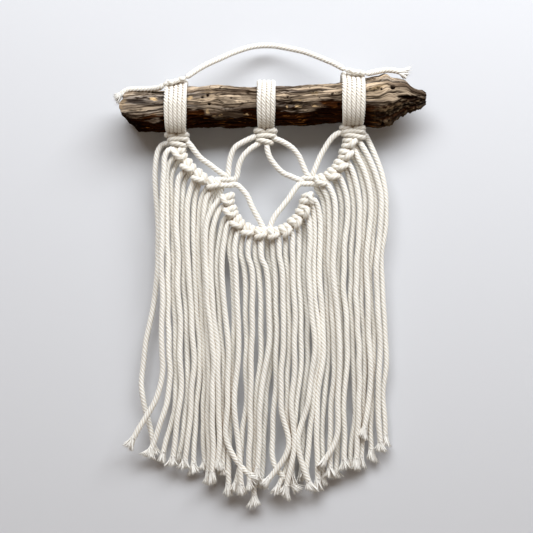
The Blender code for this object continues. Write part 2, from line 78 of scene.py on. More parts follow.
# ---------------------------------------------------------------- tables
BranchSection = namedtuple("BranchSection", "x top bottom half_depth")
BRANCH = [BranchSection(*row) for row in (
    (-115.5, -46.0, -53.0, 4.0), (-113.0, -39.0, -57.0, 11.0), (-101.0, -37.5, -69.5, 16.0),
    (-85.0, -36.0, -69.0, 17.0), (-61.0, -32.8, -66.8, 17.0), (-29.0, -32.0, -65.4, 16.5),
    (-9.0, -33.6, -64.8, 16.0), (11.0, -32.8, -64.0, 16.0), (35.0, -31.6, -63.2, 16.0),
    (59.0, -29.6, -62.4, 16.5), (81.0, -26.4, -63.2, 18.0), (96.0, -23.2, -66.0, 19.0),
    (105.0, -25.5, -61.0, 17.0), (113.5, -27.5, -53.0, 13.0), (122.0, -33.0, -49.5, 8.0),
    (128.4, -37.5, -45.0, 3.5),
)]

# Low swells of the bark: height as a share of the radius, how many go round, length, phase.
Swell = namedtuple("Swell", "height around length phase")
SWELLS = [Swell(0.05, 3, 19.0, 0.0), Swell(0.03, 5, -13.0, 1.0)]

# The cords taken round the branch: left and right edge, and how many lie side by side.
Strap = namedtuple("Strap", "name left right cords knot_rows arches")
# One row of a square knot: its two ends, its height and its thickness.
KnotRow = namedtuple("KnotRow", "left right z height")
# Cords that leave a square knot and arch down to a swag, as (x, z) from the knot on.
LEFT_ARCH = [
    (-64.0, -76.5), (-60.5, -80.0), (-56.0, -86.0), (-52.0, -90.6), (-45.6, -95.2), (-37.0, -101.6),
    (-30.5, -106.0),
]
OUTER_LEFT_ARCH = [
    (-7.0, -72.6), (-17.3, -77.4), (-24.4, -81.9), (-28.0, -88.6), (-29.6, -95.7), (-30.4, -104.9),
    (-31.5, -108.5),
]
INNER_LEFT_ARCH = [
    (-3.0, -77.5), (-12.5, -83.4), (-18.8, -90.1), (-22.0, -97.6), (-23.4, -105.6),
    (-26.5, -109.5),
]
INNER_RIGHT_ARCH = [
    (0.0, -77.5), (2.4, -88.6), (7.8, -96.8), (13.8, -102.4), (20.5, -105.4), (26.8, -108.0),
    (31.0, -109.0),
]
OUTER_RIGHT_ARCH = [
    (4.0, -74.0), (12.8, -77.4), (20.8, -82.4), (26.4, -89.1), (29.8, -96.8), (33.0, -103.8),
    (36.0, -107.0),
]
RIGHT_ARCH = [
    (60.5, -69.5), (55.2, -72.3), (51.2, -76.3), (47.2, -82.4), (43.2, -89.6), (38.4, -101.0),
    (36.6, -106.0),
]

LEFT_KNOT = [
    KnotRow(-81.0, -61.6, -71.2, 5.2),
    KnotRow(-78.4, -61.6, -74.9, 4.8),
    KnotRow(-76.8, -63.6, -78.6, 4.4),
]
MIDDLE_KNOT = [
    KnotRow(-9.6, 8.8, -68.2, 5.2),
    KnotRow(-8.0, 8.0, -72.3, 4.8),
    KnotRow(-7.2, 5.2, -76.3, 4.6),
]
RIGHT_KNOT = [
    KnotRow(58.8, 79.6, -65.7, 4.8),
    KnotRow(59.8, 79.2, -68.8, 4.4),
    KnotRow(61.0, 79.0, -72.0, 4.0),
]
MIDDLE_ARCHES = [OUTER_LEFT_ARCH, INNER_LEFT_ARCH, INNER_RIGHT_ARCH, OUTER_RIGHT_ARCH]
STRAPS = [
    Strap("strap_left", -80.6, -62.4, 5, LEFT_KNOT, [LEFT_ARCH]),
    Strap("strap_middle", -7.4, 7.6, 4, MIDDLE_KNOT, MIDDLE_ARCHES),
    Strap("strap_right", 59.8, 78.6, 5, RIGHT_KNOT, [RIGHT_ARCH]),
]

# Centres of the half-hitch knots along each swag, as (x, z).
LEFT_SWAG = [
    (-70.2, -81.4), (-66.8, -90.2), (-59.6, -99.6), (-51.8, -106.0), (-44.0, -110.2), (-36.0, -110.4),
]
RIGHT_SWAG = [
    (67.6, -73.4), (65.2, -82.4), (60.8, -93.6), (54.4, -101.6), (46.0, -107.2), (38.5, -108.6),
]
LOWER_SWAG = [
    (-30.6, -118.6), (-30.0, -124.0), (-26.8, -136.0), (-19.2, -144.8), (-10.4, -149.4), (0.8, -150.4),
    (13.6, -148.8), (22.8, -141.6), (29.6, -132.6), (32.8, -123.6), (33.2, -118.2),
]
# The two cords side by side that join the arches to a side swag, as (x, z) ends.
LEFT_JOINT = [[(-42.0, -107.6), (-24.6, -107.6)], [(-42.0, -112.2), (-24.2, -112.2)]]
RIGHT_JOINT = [[(44.0, -106.4), (28.0, -106.4)], [(44.0, -111.0), (27.8, -111.0)]]
LOWER_JOINT = [[(-6.8, -147.6), (7.6, -147.6)], [(-6.8, -152.4), (7.6, -152.4)]]
# The cords from the side swags' joints down to the middle of the lower swag.
LEFT_V_CORD = [
    (-29.0, -110.6), (-22.6, -112.4), (-17.6, -117.2), (-14.4, -121.6), (-12.0, -127.6), (-8.8, -134.0),
    (-2.4, -146.0), (-1.4, -150.0),
]
RIGHT_V_CORD = [
    (31.5, -109.6), (26.0, -112.0), (21.8, -117.4), (17.9, -123.2), (12.3, -130.4), (7.2, -136.8),
    (3.4, -145.0), (3.0, -150.0),
]

# Hanging strands: where each leaves its knot, its x at the shoulder and at three heights, its tip,
# and its layer (-1 at the back, 0 between, 1 in front).
Strand = namedtuple("Strand", "name root_x root_z shoulder upper middle lower tip_x tip_z layer")


def numbered(letter, rows):
    """Strands named by a letter and their number from the left."""
    return [Strand(letter + str(number), *row) for number, row in enumerate(rows, 1)]


LEFT_STRANDS = numbered("L", [
    (-79.0, -78.6, -87.8, -87.0, -97.0, -98.0, -88.8, -328.8, -1),
    (-73.0, -83.0, -82.6, -82.8, -82.8, -88.5, -109.6, -321.0, 1),
    (-73.5, -90.5, -79.4, -78.8, -77.6, -78.8, -94.4, -330.4, 0),
    (-70.5, -93.0, -75.4, -74.4, -72.8, -72.8, -84.0, -334.4, -1),
    (-65.6, -101.6, -71.4, -70.4, -68.4, -68.8, -76.0, -337.6, 0),
    (-62.0, -103.2, -67.0, -66.0, -63.2, -63.6, -70.4, -334.4, -1),
    (-56.8, -107.2, -62.4, -62.0, -58.0, -59.6, -65.6, -340.0, 0),
    (-53.6, -110.4, -57.4, -57.6, -53.6, -55.2, -59.2, -343.2, -1),
    (-47.2, -114.2, -52.0, -53.6, -49.2, -50.0, -49.6, -341.6, -1),
    (-42.6, -115.0, -48.2, -49.2, -46.0, -46.0, -46.0, -349.6, 0),
    (-38.8, -115.0, -44.6, -46.4, -44.0, -43.2, -43.0, -342.4, -1),
    (-35.6, -115.0, -39.6, -41.6, -40.0, -40.0, -36.0, -343.2, -1),
])
LOWER_STRANDS = numbered("M", [
    (-36.0, -124.0, -46.0, -48.0, -42.4, -42.4, -42.6, -348.8, 1),
    (-34.8, -130.0, -41.6, -44.0, -38.8, -37.6, -37.6, -340.0, 1),
    (-33.0, -139.5, -37.0, -39.6, -34.8, -34.4, -34.6, -344.4, 0),
    (-29.8, -143.0, -33.4, -35.2, -30.0, -30.8, -4.8, -346.4, 1),
    (-26.0, -147.0, -29.4, -26.8, -26.0, -28.0, -30.4, -359.2, 0),
    (-22.4, -149.8, -25.0, -24.0, -22.0, -24.8, -18.4, -359.2, 1),
    (-17.8, -152.0, -20.2, -17.2, -16.0, -16.0, -24.0, -357.6, 0),
    (-13.2, -154.6, -14.2, -11.2, -11.6, -12.4, -13.6, -356.0, 1),
    (-8.6, -156.0, -8.4, -6.0, -4.0, -8.0, -9.6, -368.0, 0),
    (-4.0, -156.6, -3.4, 0.4, 1.6, -4.4, -6.4, -346.4, 1),
    (0.8, -156.8, 1.8, 4.8, 4.4, 0.0, -3.6, -354.4, -1),
    (5.4, -156.4, 6.0, 7.2, 8.4, 7.2, 24.6, -356.8, 0),
    (10.2, -155.4, 10.8, 12.8, 13.6, 11.6, -1.8, -352.8, 1),
    (15.6, -154.2, 15.8, 17.2, 18.4, 16.4, 9.0, -359.2, 0),
    (20.6, -150.4, 21.2, 21.6, 23.2, 20.8, 14.6, -360.0, 1),
    (25.4, -146.6, 26.4, 26.0, 28.4, 24.8, 19.6, -349.6, 0),
    (29.8, -141.8, 30.8, 30.0, 33.6, 30.0, 28.8, -349.6, -1),
    (33.2, -137.0, 35.2, 34.0, 38.4, 33.6, 37.0, -356.0, 1),
    (36.4, -129.8, 38.6, 38.0, 42.0, 37.2, 32.2, -346.4, 0),
    (38.8, -124.4, 43.2, 42.8, 46.0, 41.2, 41.4, -355.2, 0),
])
RIGHT_STRANDS = numbered("R", [
    (40.6, -114.4, 45.8, 47.2, 50.4, 46.4, 45.4, -352.0, -1),
    (45.2, -113.6, 49.8, 50.8, 54.8, 52.8, 50.4, -345.6, 0),
    (49.4, -111.2, 54.6, 54.0, 58.8, 57.2, 43.2, -337.6, 1),
    (54.8, -107.8, 60.4, 58.0, 60.8, 59.2, 56.0, -348.0, -1),
    (58.6, -104.6, 65.0, 62.0, 65.2, 62.4, 63.2, -340.0, 0),
    (63.8, -98.6, 70.0, 68.0, 69.6, 71.6, 67.4, -340.0, -1),
    (66.4, -95.6, 74.6, 72.4, 74.0, 74.8, 71.2, -339.2, 0),
    (69.4, -89.0, 79.6, 76.4, 78.8, 78.8, 75.6, -338.4, -1),
    (70.6, -84.4, 84.0, 80.4, 83.2, 82.4, 77.6, -314.4, 0),
    (70.8, -80.2, 88.2, 83.6, 86.8, 84.4, 84.8, -332.0, -1),
    (73.8, -76.8, 92.4, 88.4, 91.2, 89.6, 92.0, -325.6, 0),
    (79.4, -71.8, 96.6, 92.8, 96.4, 94.4, 96.0, -320.8, -1),
])
# Further places that a few strands pass through, as (x, z): hips near the knots, and flicked ends.
BENDS = {
    "L1": [(-83.6, -79.8), (-86.6, -84.0), (-88.2, -91.0), (-89.0, -104.0), (-100.4, -269.0)],
    "L2": [(-77.6, -84.6), (-80.4, -89.0), (-81.2, -100.0), (-82.6, -262.0)],
    "L3": [(-76.4, -93.2), (-78.6, -97.6), (-79.8, -105.0)],
    "L4": [(-72.8, -96.4), (-75.0, -101.0), (-76.4, -109.0)],
    "L5": [(-69.4, -106.0)],
    "L6": [(-65.4, -108.4)],
    "M4": [(-31.2, -314.0), (-25.0, -330.0), (-16.0, -340.6)],
    "M12": [(6.4, -333.0)],
    "M13": [(17.4, -322.0)],
    "M14": [(18.6, -326.0)],
    "M15": [(22.0, -324.0)],
    "M18": [(25.4, -318.0)],
    "R3": [(55.6, -316.0)],
    "R8": [(74.4, -98.0), (77.0, -107.0)],
    "R9": [(73.6, -90.4), (77.0, -96.8), (80.2, -105.0)],
    "R10": [(74.8, -86.2), (78.6, -92.0), (81.8, -98.4), (84.4, -106.0)],
    "R11": [(78.0, -82.4), (81.4, -88.4), (84.6, -95.4), (87.6, -103.0)],
    "R12": [(82.4, -76.4), (85.6, -83.2), (88.8, -91.0), (92.0, -99.6), (94.2, -108.0)],
}
# The outermost strands come straight out of a square knot instead of a swag.
KNOT_STRANDS = {"strap_left": ("L1", (-74.0, -77.4)), "strap_right": ("R12", (75.0, -70.6))}

# The hanger, as (x, y, z) along its centre line: over the nail at the origin, and down to each strap.
NAIL_REST = CORD / 2
HANGER_ARCH = [
    (-63.4, -27.3, -27.8), (-59.6, -25.4, -24.6), (-49.8, -20.8, -17.6), (-37.6, -15.2, -11.0),
    (-25.2, -9.2, -4.6), (-13.0, -3.6, 0.2), (-5.0, -0.5, NAIL_REST - 0.2), (0.0, 0.0, NAIL_REST),
    (6.0, -0.5, NAIL_REST - 0.3), (17.0, -4.2, -0.6), (31.0, -9.8, -4.6), (44.6, -16.4, -10.8),
    (55.4, -22.0, -16.4), (62.5, -26.4, -21.3),
]
LEFT_TAIL = [
    (-81.0, -28.4, -33.2), (-84.2, -26.0, -35.4), (-89.5, -22.6, -35.8), (-96.0, -19.8, -35.8),
    (-104.0, -17.4, -35.6), (-110.6, -15.8, -36.0), (-115.0, -15.2, -38.4), (-117.2, -15.0, -40.6),
]
RIGHT_TAIL = [
    (78.9, -27.4, -24.6), (82.8, -24.6, -23.6), (87.0, -20.8, -22.2), (91.4, -18.2, -21.0),
    (97.0, -16.4, -20.0), (104.0, -15.4, -20.6), (109.6, -15.2, -21.8),
]
HangerKnot = namedtuple("HangerKnot", "name left right y z")
HANGER_KNOTS = [
    HangerKnot("hanger_knot_left", -80.2, -65.0, -28.6, -29.0),
    HangerKnot("hanger_knot_right", 63.4, 77.8, -28.6, -22.8),
]


# ---------------------------------------------------------------- routes
def smooth_route(points, spacing):
    """Evenly spaced points on a Catmull-Rom curve through the given ones."""
    points = np.array(points, dtype=float)
    padded = np.vstack([2 * points[0] - points[1], points, 2 * points[-1] - points[-2]])
    knots = np.concatenate([[0.0], np.cumsum(np.sqrt(np.linalg.norm(np.diff(padded, axis=0), axis=1)))])
    fine = []
    for i in range(1, len(padded) - 2):
        p, k = padded[i - 1 : i + 3], knots[i - 1 : i + 3]
        for t in np.linspace(k[1], k[2], FINE_STEPS, endpoint=False):
            a = [((k[j + 1] - t) * p[j] + (t - k[j]) * p[j + 1]) / (k[j + 1] - k[j]) for j in range(3)]
            b = [((k[j + 2] - t) * a[j] + (t - k[j]) * a[j + 1]) / (k[j + 2] - k[j]) for j in range(2)]
            fine.append(((k[2] - t) * b[0] + (t - k[1]) * b[1]) / (k[2] - k[1]))
    fine = np.array(fine + [points[-1]])
    run = np.concatenate([[0.0], np.cumsum(np.linalg.norm(np.diff(fine, axis=0), axis=1))])
    marks = np.linspace(0.0, run[-1], max(2, math.ceil(run[-1] / spacing)) + 1)
    return np.column_stack([np.interp(marks, run, fine[:, axis]) for axis in range(3)])


def at_depth(points, y):
    """Points given as (x, z), set at one depth."""
    return [(x, y, z) for x, z in points]


def nearest(path, x, z):
    """The point of a path that is nearest to (x, z) seen from the front."""
    path = np.array(path)
    return path[np.argmin(np.hypot(path[:, 0] - x, path[:, 2] - z))]


def strand_route(strand, start, start_y, shoulder_z):
    """Centre line of a hanging strand, from inside its knot down to its tip."""
    depth = KNOT_Y - strand.layer * LAYER
    hanging = [
        (strand.shoulder, shoulder_z),
        (strand.upper, UPPER_Z),
        (strand.middle, MIDDLE_Z),
        (strand.lower, LOWER_Z),
        (strand.tip_x, strand.tip_z),
    ]
    hanging = sorted(hanging + BENDS.get(strand.name, []), key=lambda point: -point[1])
    root = (strand.root_x, (start_y + depth) / 2, strand.root_z)
    return smooth_route([(start[0], start_y, start[1]), root] + at_depth(hanging, depth), ROUTE_STEP)


def branch_section(x):
    """Top, bottom and half depth of the branch at x."""
    xs, *fields = zip(*BRANCH)
    return [np.interp(x, xs, values) for values in fields]


def bark_places(x, angle, section):
    """Places on the branch's smooth surface, as y and z; the angle runs from +Y over the top."""
    top, bottom, half_depth = section
    lumps = sum(s.height * np.sin(s.around * angle + x / s.length + s.phase) for s in SWELLS)
    swell = 1 + np.abs(np.cos(angle)) * lumps
    y = BRANCH_Y + half_depth * swell * np.cos(angle)
    z = (top + bottom) / 2 + (top - bottom) / 2 * swell * np.sin(angle)
    return y, z


# ---------------------------------------------------------------- meshes
class Shells:
    """Collects the closed shells of one piece, with what its material reads at each point."""

    def __init__(self):
        self.points = []
        self.quads = []
        self.triangles = []
        self.fields = {}
        self.count = 0

    def add(self, rings, **fields):
        """One closed shell through equal rings of points, capped at both ends."""
        n, m = rings.shape[:2]
        index = self.count + np.arange(n * m).reshape(n, m)
        beside = np.roll(index, -1, axis=1)
        first, last = self.count + n * m, self.count + n * m + 1
        self.quads.append(np.stack([index[:-1], beside[:-1], beside[1:], index[1:]], axis=-1).reshape(-1, 4))
        self.triangles.append(np.column_stack([np.full(m, first), beside[0], index[0]]))
        self.triangles.append(np.column_stack([np.full(m, last), index[-1], beside[-1]]))
        self.points.append(self.with_caps(rings))
        for name, values in fields.items():
            self.fields.setdefault(name, []).append(self.with_caps(values))
        self.count += n * m + 2

    @staticmethod
    def with_caps(values):
        """Values given by ring and side, as one list that ends with the two caps' middles."""
        rings = values.reshape(*values.shape[:2], -1)
        return np.vstack([rings.reshape(-1, rings.shape[2]), rings[0].mean(0), rings[-1].mean(0)])


def shown(name, shells, material, slot, *nodes):
    """The piece as a mesh object that rides on the body and stands for its CAD nodes."""
    quads, triangles = np.vstack(shells.quads), np.vstack(shells.triangles)
    mesh = bpy.data.meshes.new(name)
    points = np.vstack(shells.points) * MM
    mesh.vertices.add(len(points))
    mesh.vertices.foreach_set("co", points.ravel())
    corners = np.concatenate([quads.ravel(), triangles.ravel()])
    mesh.loops.add(len(corners))
    mesh.loops.foreach_set("vertex_index", corners)
    starts = np.concatenate([np.arange(len(quads)) * 4, quads.size + np.arange(len(triangles)) * 3])
    mesh.polygons.add(len(starts))
    mesh.polygons.foreach_set("loop_start", starts)
    for field, values in shells.fields.items():
        values = np.vstack(values)
        is_vector = values.shape[1] == 3
        made = mesh.attributes.new(field, "FLOAT_VECTOR" if is_vector else "FLOAT", "POINT")
        made.data.foreach_set("vector" if is_vector else "value", values.ravel())
    mesh.update(calc_edges=True)
    mesh.validate()
    mesh.shade_smooth()
    mesh.materials.append(material)
    piece = bpy.data.objects.new(name, mesh)
    bpy.context.scene.collection.objects.link(piece)
    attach(piece, "root")
    if nodes:
        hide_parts(*nodes)
    return piece


def carried_frames(path, start=(0.0, -1.0, 0.0)):
    """Two normals at each point of a path, carried along it without twist."""
    tangents = np.gradient(path, axis=0)
    tangents /= np.linalg.norm(tangents, axis=1)[:, None]
    normals = np.empty_like(path)
    normal = np.cross(tangents[0], start)
    for i, tangent in enumerate(tangents):
        normal = normal - tangent * (normal @ tangent)
        normal /= np.linalg.norm(normal)
        normals[i] = normal
    return normals, np.cross(tangents, normals)


def run_along(path):
    """Length along a path at each of its points."""
    return np.concatenate([[0.0], np.cumsum(np.linalg.norm(np.diff(path, axis=0), axis=1))])


# ---------------------------------------------------------------- cords
PLIES = 4
ROPE_SIDES = 20
ROPE_RINGS = 9.85  # rings to one turn of the plies, so that no piece passes 200,000 triangles
PLY_RADIUS = 0.585  # a ply's radius, and how far its middle lies from the rope's, as shares of the rope's
PLY_OFFSET = 0.42
ROUNDED = (0.45, 0.8, 0.96)  # widths of a closed end's first rings
YARN_RADII = (0.38, 0.42, 0.46, 0.48, 0.46, 0.30)  # of a frayed end's yarns and finer fibres, root to tip
FIBRE_RADII = (0.12, 0.11, 0.1, 0.05)
YARN_TURN = 2.4  # angle from one yarn to the next, which spreads them evenly over the section
ROOT_SPREAD = 0.88  # how wide the yarns stand at their root, as a share of the cord
chance = np.random.default_rng(7)


def ply_section(angle):
    """Radius of the section at an angle, as a share of the rope's: a lobe for each ply."""
    bend = (angle + math.pi / PLIES) % (2 * math.pi / PLIES) - math.pi / PLIES
    return PLY_OFFSET * np.cos(bend) + np.sqrt(PLY_RADIUS**2 - (PLY_OFFSET * np.sin(bend)) ** 2)


def rope(shells, points, width=ROPE, lay=LAY, tone=None, rounded=(True, True), relief=1.0):
    """A twisted rope along a route, its plies laid to the left as on the real cord.

    Its tone, which also carries painted shade, is one number, None for a small one by chance, or a function
    of the heights along the route.
    """
    path = smooth_route(points, lay / ROPE_RINGS)
    normals, others = carried_frames(path)
    run = run_along(path)
    size = np.ones(len(path))
    if rounded[0]:
        size[: len(ROUNDED)] = ROUNDED
    if rounded[1]:
        size[-len(ROUNDED) :] = ROUNDED[::-1]
    angles = 2 * math.pi * np.arange(ROPE_SIDES) / ROPE_SIDES
    section = 1 - relief * (1 - ply_section(angles))
    turned = angles[None, :] - (2 * math.pi * run / lay + chance.uniform(0, 6.28))[:, None]
    across = width / 2 * size[:, None] * section * np.cos(turned)
    along = width / 2 * size[:, None] * section * np.sin(turned)
    rings = path[:, None] + across[..., None] * normals[:, None] + along[..., None] * others[:, None]
    groove = (section.max() - section) / (section.max() - section.min())
    lie_along = np.broadcast_to((run + chance.uniform(0, 500))[:, None], across.shape)
    tone = chance.uniform(0, 0.25) if tone is None else tone
    tone = tone(path[:, 2:]) if callable(tone) else np.float64(tone)
    shells.add(
        rings,
        lie=np.stack([across, along, lie_along], axis=-1),
        groove=np.broadcast_to(groove ** (1 / relief), across.shape),
        tone=np.broadcast_to(tone, across.shape),
    )
    return path


def fibre(shells, points, radii, sides, tone):
    """A thin yarn or fibre through a few points, tapering as its radii say."""
    path = np.array(points)
    normals, others = carried_frames(path, (0.3, -0.9, 0.2))
    angles = 2 * math.pi * np.arange(sides) / sides
    across = np.array(radii)[:, None] * np.cos(angles)
    along = np.array(radii)[:, None] * np.sin(angles)
    rings = path[:, None] + across[..., None] * normals[:, None] + along[..., None] * others[:, None]
    lie = np.stack([across, along, np.broadcast_to(run_along(path)[:, None], across.shape)], axis=-1)
    shells.add(rings, lie=lie, groove=np.zeros(across.shape), tone=np.full(across.shape, tone))


def fray(shells, tip, way, flare, length, width=ROPE, yarns=38, fibres=40):
    """The cut end of a cord: its yarns open like a brush, and finer fibres stand out of it."""
    side = np.cross(way, (0.0, -1.0, 0.0))
    side /= np.linalg.norm(side)
    front = np.cross(side, way)
    tone = chance.uniform(0, 0.2)
    slant = chance.uniform(-0.3, 0.3)
    opens_at = chance.uniform(1.5, 2.6)
    for i in range(yarns + fibres):
        thick = i < yarns
        from_middle = math.sqrt((i % yarns + 0.5) / yarns)
        angle = YARN_TURN * i + chance.uniform(-0.2, 0.2)
        reach = length * (1 + slant * math.cos(angle) * from_middle)
        reach *= chance.uniform(0.86, 1.05) if thick else chance.uniform(0.8, 1.22)
        open_side = flare * chance.uniform(0.8, 1.15)
        open_front = 1 + 0.45 * (flare - 1) * chance.uniform(0.6, 1.3)
        curl = (side * chance.normal() + front * chance.normal()) * (0.10 if thick else 0.16) * reach
        radii = YARN_RADII if thick else FIBRE_RADII
        points = []
        for t in np.linspace(0, 1, len(radii)):
            spread = t**opens_at
            turned = angle - 1.3 * (1 - t) ** 2  # the yarns still follow the lay where they leave the cord
            across, deep = math.cos(turned) * from_middle, math.sin(turned) * from_middle
            wide = ROOT_SPREAD + (open_side - ROOT_SPREAD) * spread
            thick_through = ROOT_SPREAD + (open_front - ROOT_SPREAD) * spread
            out = side * across * wide + front * deep * thick_through
            points.append(tip + way * (reach * t - 1.5) + out * width / 2 + curl * t * t)
        fibre(shells, points, radii, 5 if thick else 3, tone)


# ---------------------------------------------------------------- knots
RING_STEPS = 14
FRONT = np.array((0.0, -1.0, 0.0))


def ring_route(centre, across, up, radius):
    """Points of a flat loop round a centre, a little more than once round."""
    turns = np.arange(RING_STEPS + 2) / RING_STEPS * 2 * math.pi + math.pi / 2
    return [centre + across * radius * math.cos(t) + up * radius * math.sin(t) for t in turns]


def frame_at(bar, run, at):
    """Place and direction of a bar at a length along it."""
    def place(length):
        return np.array([np.interp(length, run, bar[:, axis]) for axis in range(3)])

    at = min(max(at, 0.0), run[-1])
    ahead = place(at + 1.5) - place(at - 1.5)
    return place(at), ahead / np.linalg.norm(ahead)


def wrap(shells, bar, run, at, outer, width, lean):
    """One turn of cord round a bar, leaning along it."""
    centre, tangent = frame_at(bar, run, at)
    side = np.cross(tangent, FRONT)
    leaning = side * math.cos(lean) + tangent * math.sin(lean)
    turn = ring_route(centre, leaning, -FRONT, outer - width / 2)
    # The turn's cotton is painted darker: painted shade in the knot.
    rope(shells, turn, width=width, tone=chance.uniform(0.5, 0.75))


# The two turns of a half hitch: place along it and width, as shares of its length, round a change of radius.
HITCH_TURNS = ((-0.18, 0.4, 0.60), (0.27, -0.3, 0.50))
# The lobe that crosses them: places along the knot, below the bar and in front of it.
HITCH_LOBE = (
    (-0.36, 0.45, 0.30), (-0.30, 0.72, 0.70), (-0.06, 0.60, 1.02), (0.20, 0.36, 1.04), (0.36, 0.14, 0.60),
)
LOBE_DROPS = (0, 0, 1, 1, 0)  # which of these places hang lower or higher by chance


def half_hitches(shells, bar, count, outer):
    """Knots side by side round a bar: two plump turns each, crossed low down by a third."""
    run = run_along(bar)
    pitch = run[-1] / count
    # Here and in the lobes below, a tone of 0.6 paints the cotton darker: painted shade in the knots.
    rope(shells, [bar[0], *bar[2:-2:4], bar[-1]], width=2 * (outer - 2.7), lay=2 * LAY, tone=0.6)
    for i in range(count):
        middle = (i + 0.5) * pitch + chance.uniform(-0.3, 0.3)
        lean = chance.uniform(0.1, 0.4)
        centre, tangent = frame_at(bar, run, middle)
        size = outer * (0.88 + 0.12 * abs(tangent[2]))
        for step, swell, share in HITCH_TURNS:
            swell += chance.uniform(-0.2, 0.3)
            wrap(shells, bar, run, middle + step * pitch, size + swell, share * pitch, lean)
        below = np.cross(tangent, FRONT)
        below *= math.copysign(1.0, -below[2]) * size
        drop = chance.uniform(-0.12, 0.12)
        points = [
            centre + tangent * along * pitch + below * (under + drop * drops) + FRONT * size * ahead * 0.94
            for (along, under, ahead), drops in zip(HITCH_LOBE, LOBE_DROPS)
        ]
        rope(shells, points, width=chance.uniform(4.4, 5.0), tone=0.6)


# Bends of a square knot's cords: share of the row's half width, and how far back and up from the row.
KNOT_TURN = (
    (0.45, 4.0, 0.0), (0.74, 1.0, 0.1), (0.82, -4.0, 0.1), (0.66, -7.4, 0.2), (0.34, -7.8, 0.1),
    (0.13, -5.6, -0.6), (0.02, -2.0, -1.0),
)
KNOT_UPPER = (
    (0.7, 3.0, 0.0), (0.84, -2.4, 0.0), (0.68, -6.6, 0.2), (0.0, -7.4, 0.5), (-0.7, -7.0, -0.1),
    (-0.84, -3.0, -0.8), (-0.7, 2.0, -1.2),
)
KNOT_LOWER = (
    (-0.8, 2.0, 1.4), (-0.88, -2.4, 1.6), (-0.7, -6.4, 0.9), (0.0, -6.8, 0.0), (0.6, -5.6, -0.9),
    (0.88, -2.4, -1.0), (0.7, 2.0, 0.0),
)
KNOT_CORE = (-0.6, -0.22, 0.22, 0.6)  # places of the cords inside the knot


def square_knot(shells, rows, y):
    """Two plump turns with a hole between them, and two cords that cross below, round a filled core."""
    turns, upper, lower = [row._replace(z=row.z - 0.9) for row in rows]

    def across(row, share):
        return (row.left + row.right) / 2 + (row.right - row.left) / 2 * share

    # The last number of each row, and the core's tone, paint the knot's cotton darker: painted shade.
    for row, bends, side, width, tone in (
        (turns, KNOT_TURN, -1, 4.8, 1.0),
        (turns, KNOT_TURN, 1, 4.8, 1.0),
        (upper, KNOT_UPPER, 1, 4.5, 0.9),
        (lower, KNOT_LOWER, 1, 4.7, 0.8),
    ):
        points = [(across(row, side * out), y + back, row.z + up) for out, back, up in bends]
        rope(shells, points, width=width, tone=tone)
    for share in KNOT_CORE:
        x0, x1 = across(turns, share), across(lower, share)
        middle = ((x0 + x1) / 2, y - 3, upper.z)
        rope(shells, [(x0, y - 3, turns.z + 1.0), middle, (x1, y - 2, lower.z - 1.0)], tone=1.0)


def strap_cords(shells, strap):
    """The cords of a strap, side by side round the branch and down into its knot."""
    top, bottom, _ = branch_section((strap.left + strap.right) / 2)
    centre = np.array((BRANCH_Y, (top + bottom) / 2))
    half_step = math.pi / STRAP_SIDES
    bark_x = np.arange(strap.left - 2, strap.right + 3, 1.5)
    middle = (strap.left + strap.right) / 2
    width = (strap.right - strap.left) / (strap.cords + 0.13)
    round_branch = []
    for i in range(STRAP_SIDES - 1, -1, -1):
        angle = 2 * half_step * i - math.pi / 2 + half_step
        out = np.array((math.cos(angle), math.sin(angle)))
        turns = np.linspace(angle - half_step, angle + half_step, 5)
        places = [bark_places(x, turn, branch_section(x)) for x in bark_x for turn in turns]
        farthest = max((np.array(place) - centre) @ out for place in places)
        round_branch.append((angle, *(centre + out * (farthest / math.cos(half_step) + SEAT + CORD / 2))))
    knot_z = strap.knot_rows[0].z

    # The cords' cotton is painted darker towards the knot: painted shade where the strap turns under the
    # branch.
    def painted_shade_below(heights):
        return np.clip((knot_z + STRAP_SHADE - heights) / STRAP_SHADE, 0, 1)

    for i in range(strap.cords):
        x = middle + (i + 0.5 - strap.cords / 2) * width
        sag = 0.45 * (-1) ** i + chance.uniform(-0.3, 0.3)
        points = [
            (middle + (x - middle) * 0.84, KNOT_Y + 0.6, knot_z - 2.6),
            (middle + (x - middle) * 0.86, KNOT_Y - 2.2, knot_z + 0.6 + sag),
        ]
        for angle, y, z in round_branch[2:]:
            gather = STRAP_GATHER * max(0.0, -math.sin(angle)) ** 2
            points.append((middle + (x - middle) * (1 - gather), y + 0.35 * sag, z))
        points.append((middle + (x - middle) * 0.84, KNOT_Y + 2.0, knot_z))
        thick = width * STRAP_OVERLAP
        rope(shells, points, width=thick, lay=STRAP_LAY, relief=STRAP_RELIEF, tone=painted_shade_below)


# ---------------------------------------------------------------- strands
def hang(shells, strand, start, start_y, shoulder_z):
    """One hanging strand with a little unevenness of its own, and its frayed tip."""
    route = strand_route(strand, start, start_y, shoulder_z)
    run = run_along(route)
    free = np.clip((run - 25) / 60, 0, 1)
    for axis, size in ((0, 0.4), (1, 0.35)):
        length, phase = chance.uniform(40, 85, 2), chance.uniform(0, 6.28, 2)
        waves = np.sin(run / length[0] * 6.28 + phase[0]) + 0.6 * np.sin(run / length[1] * 9.1 + phase[1])
        route[:, axis] += size * free * waves
    path = rope(shells, route[:-4], rounded=(True, False))
    way = path[-1] - path[-6]
    way /= np.linalg.norm(way)
    fray(shells, path[-1], way, chance.uniform(1.5, 2.5), chance.uniform(8.4, 11.0))


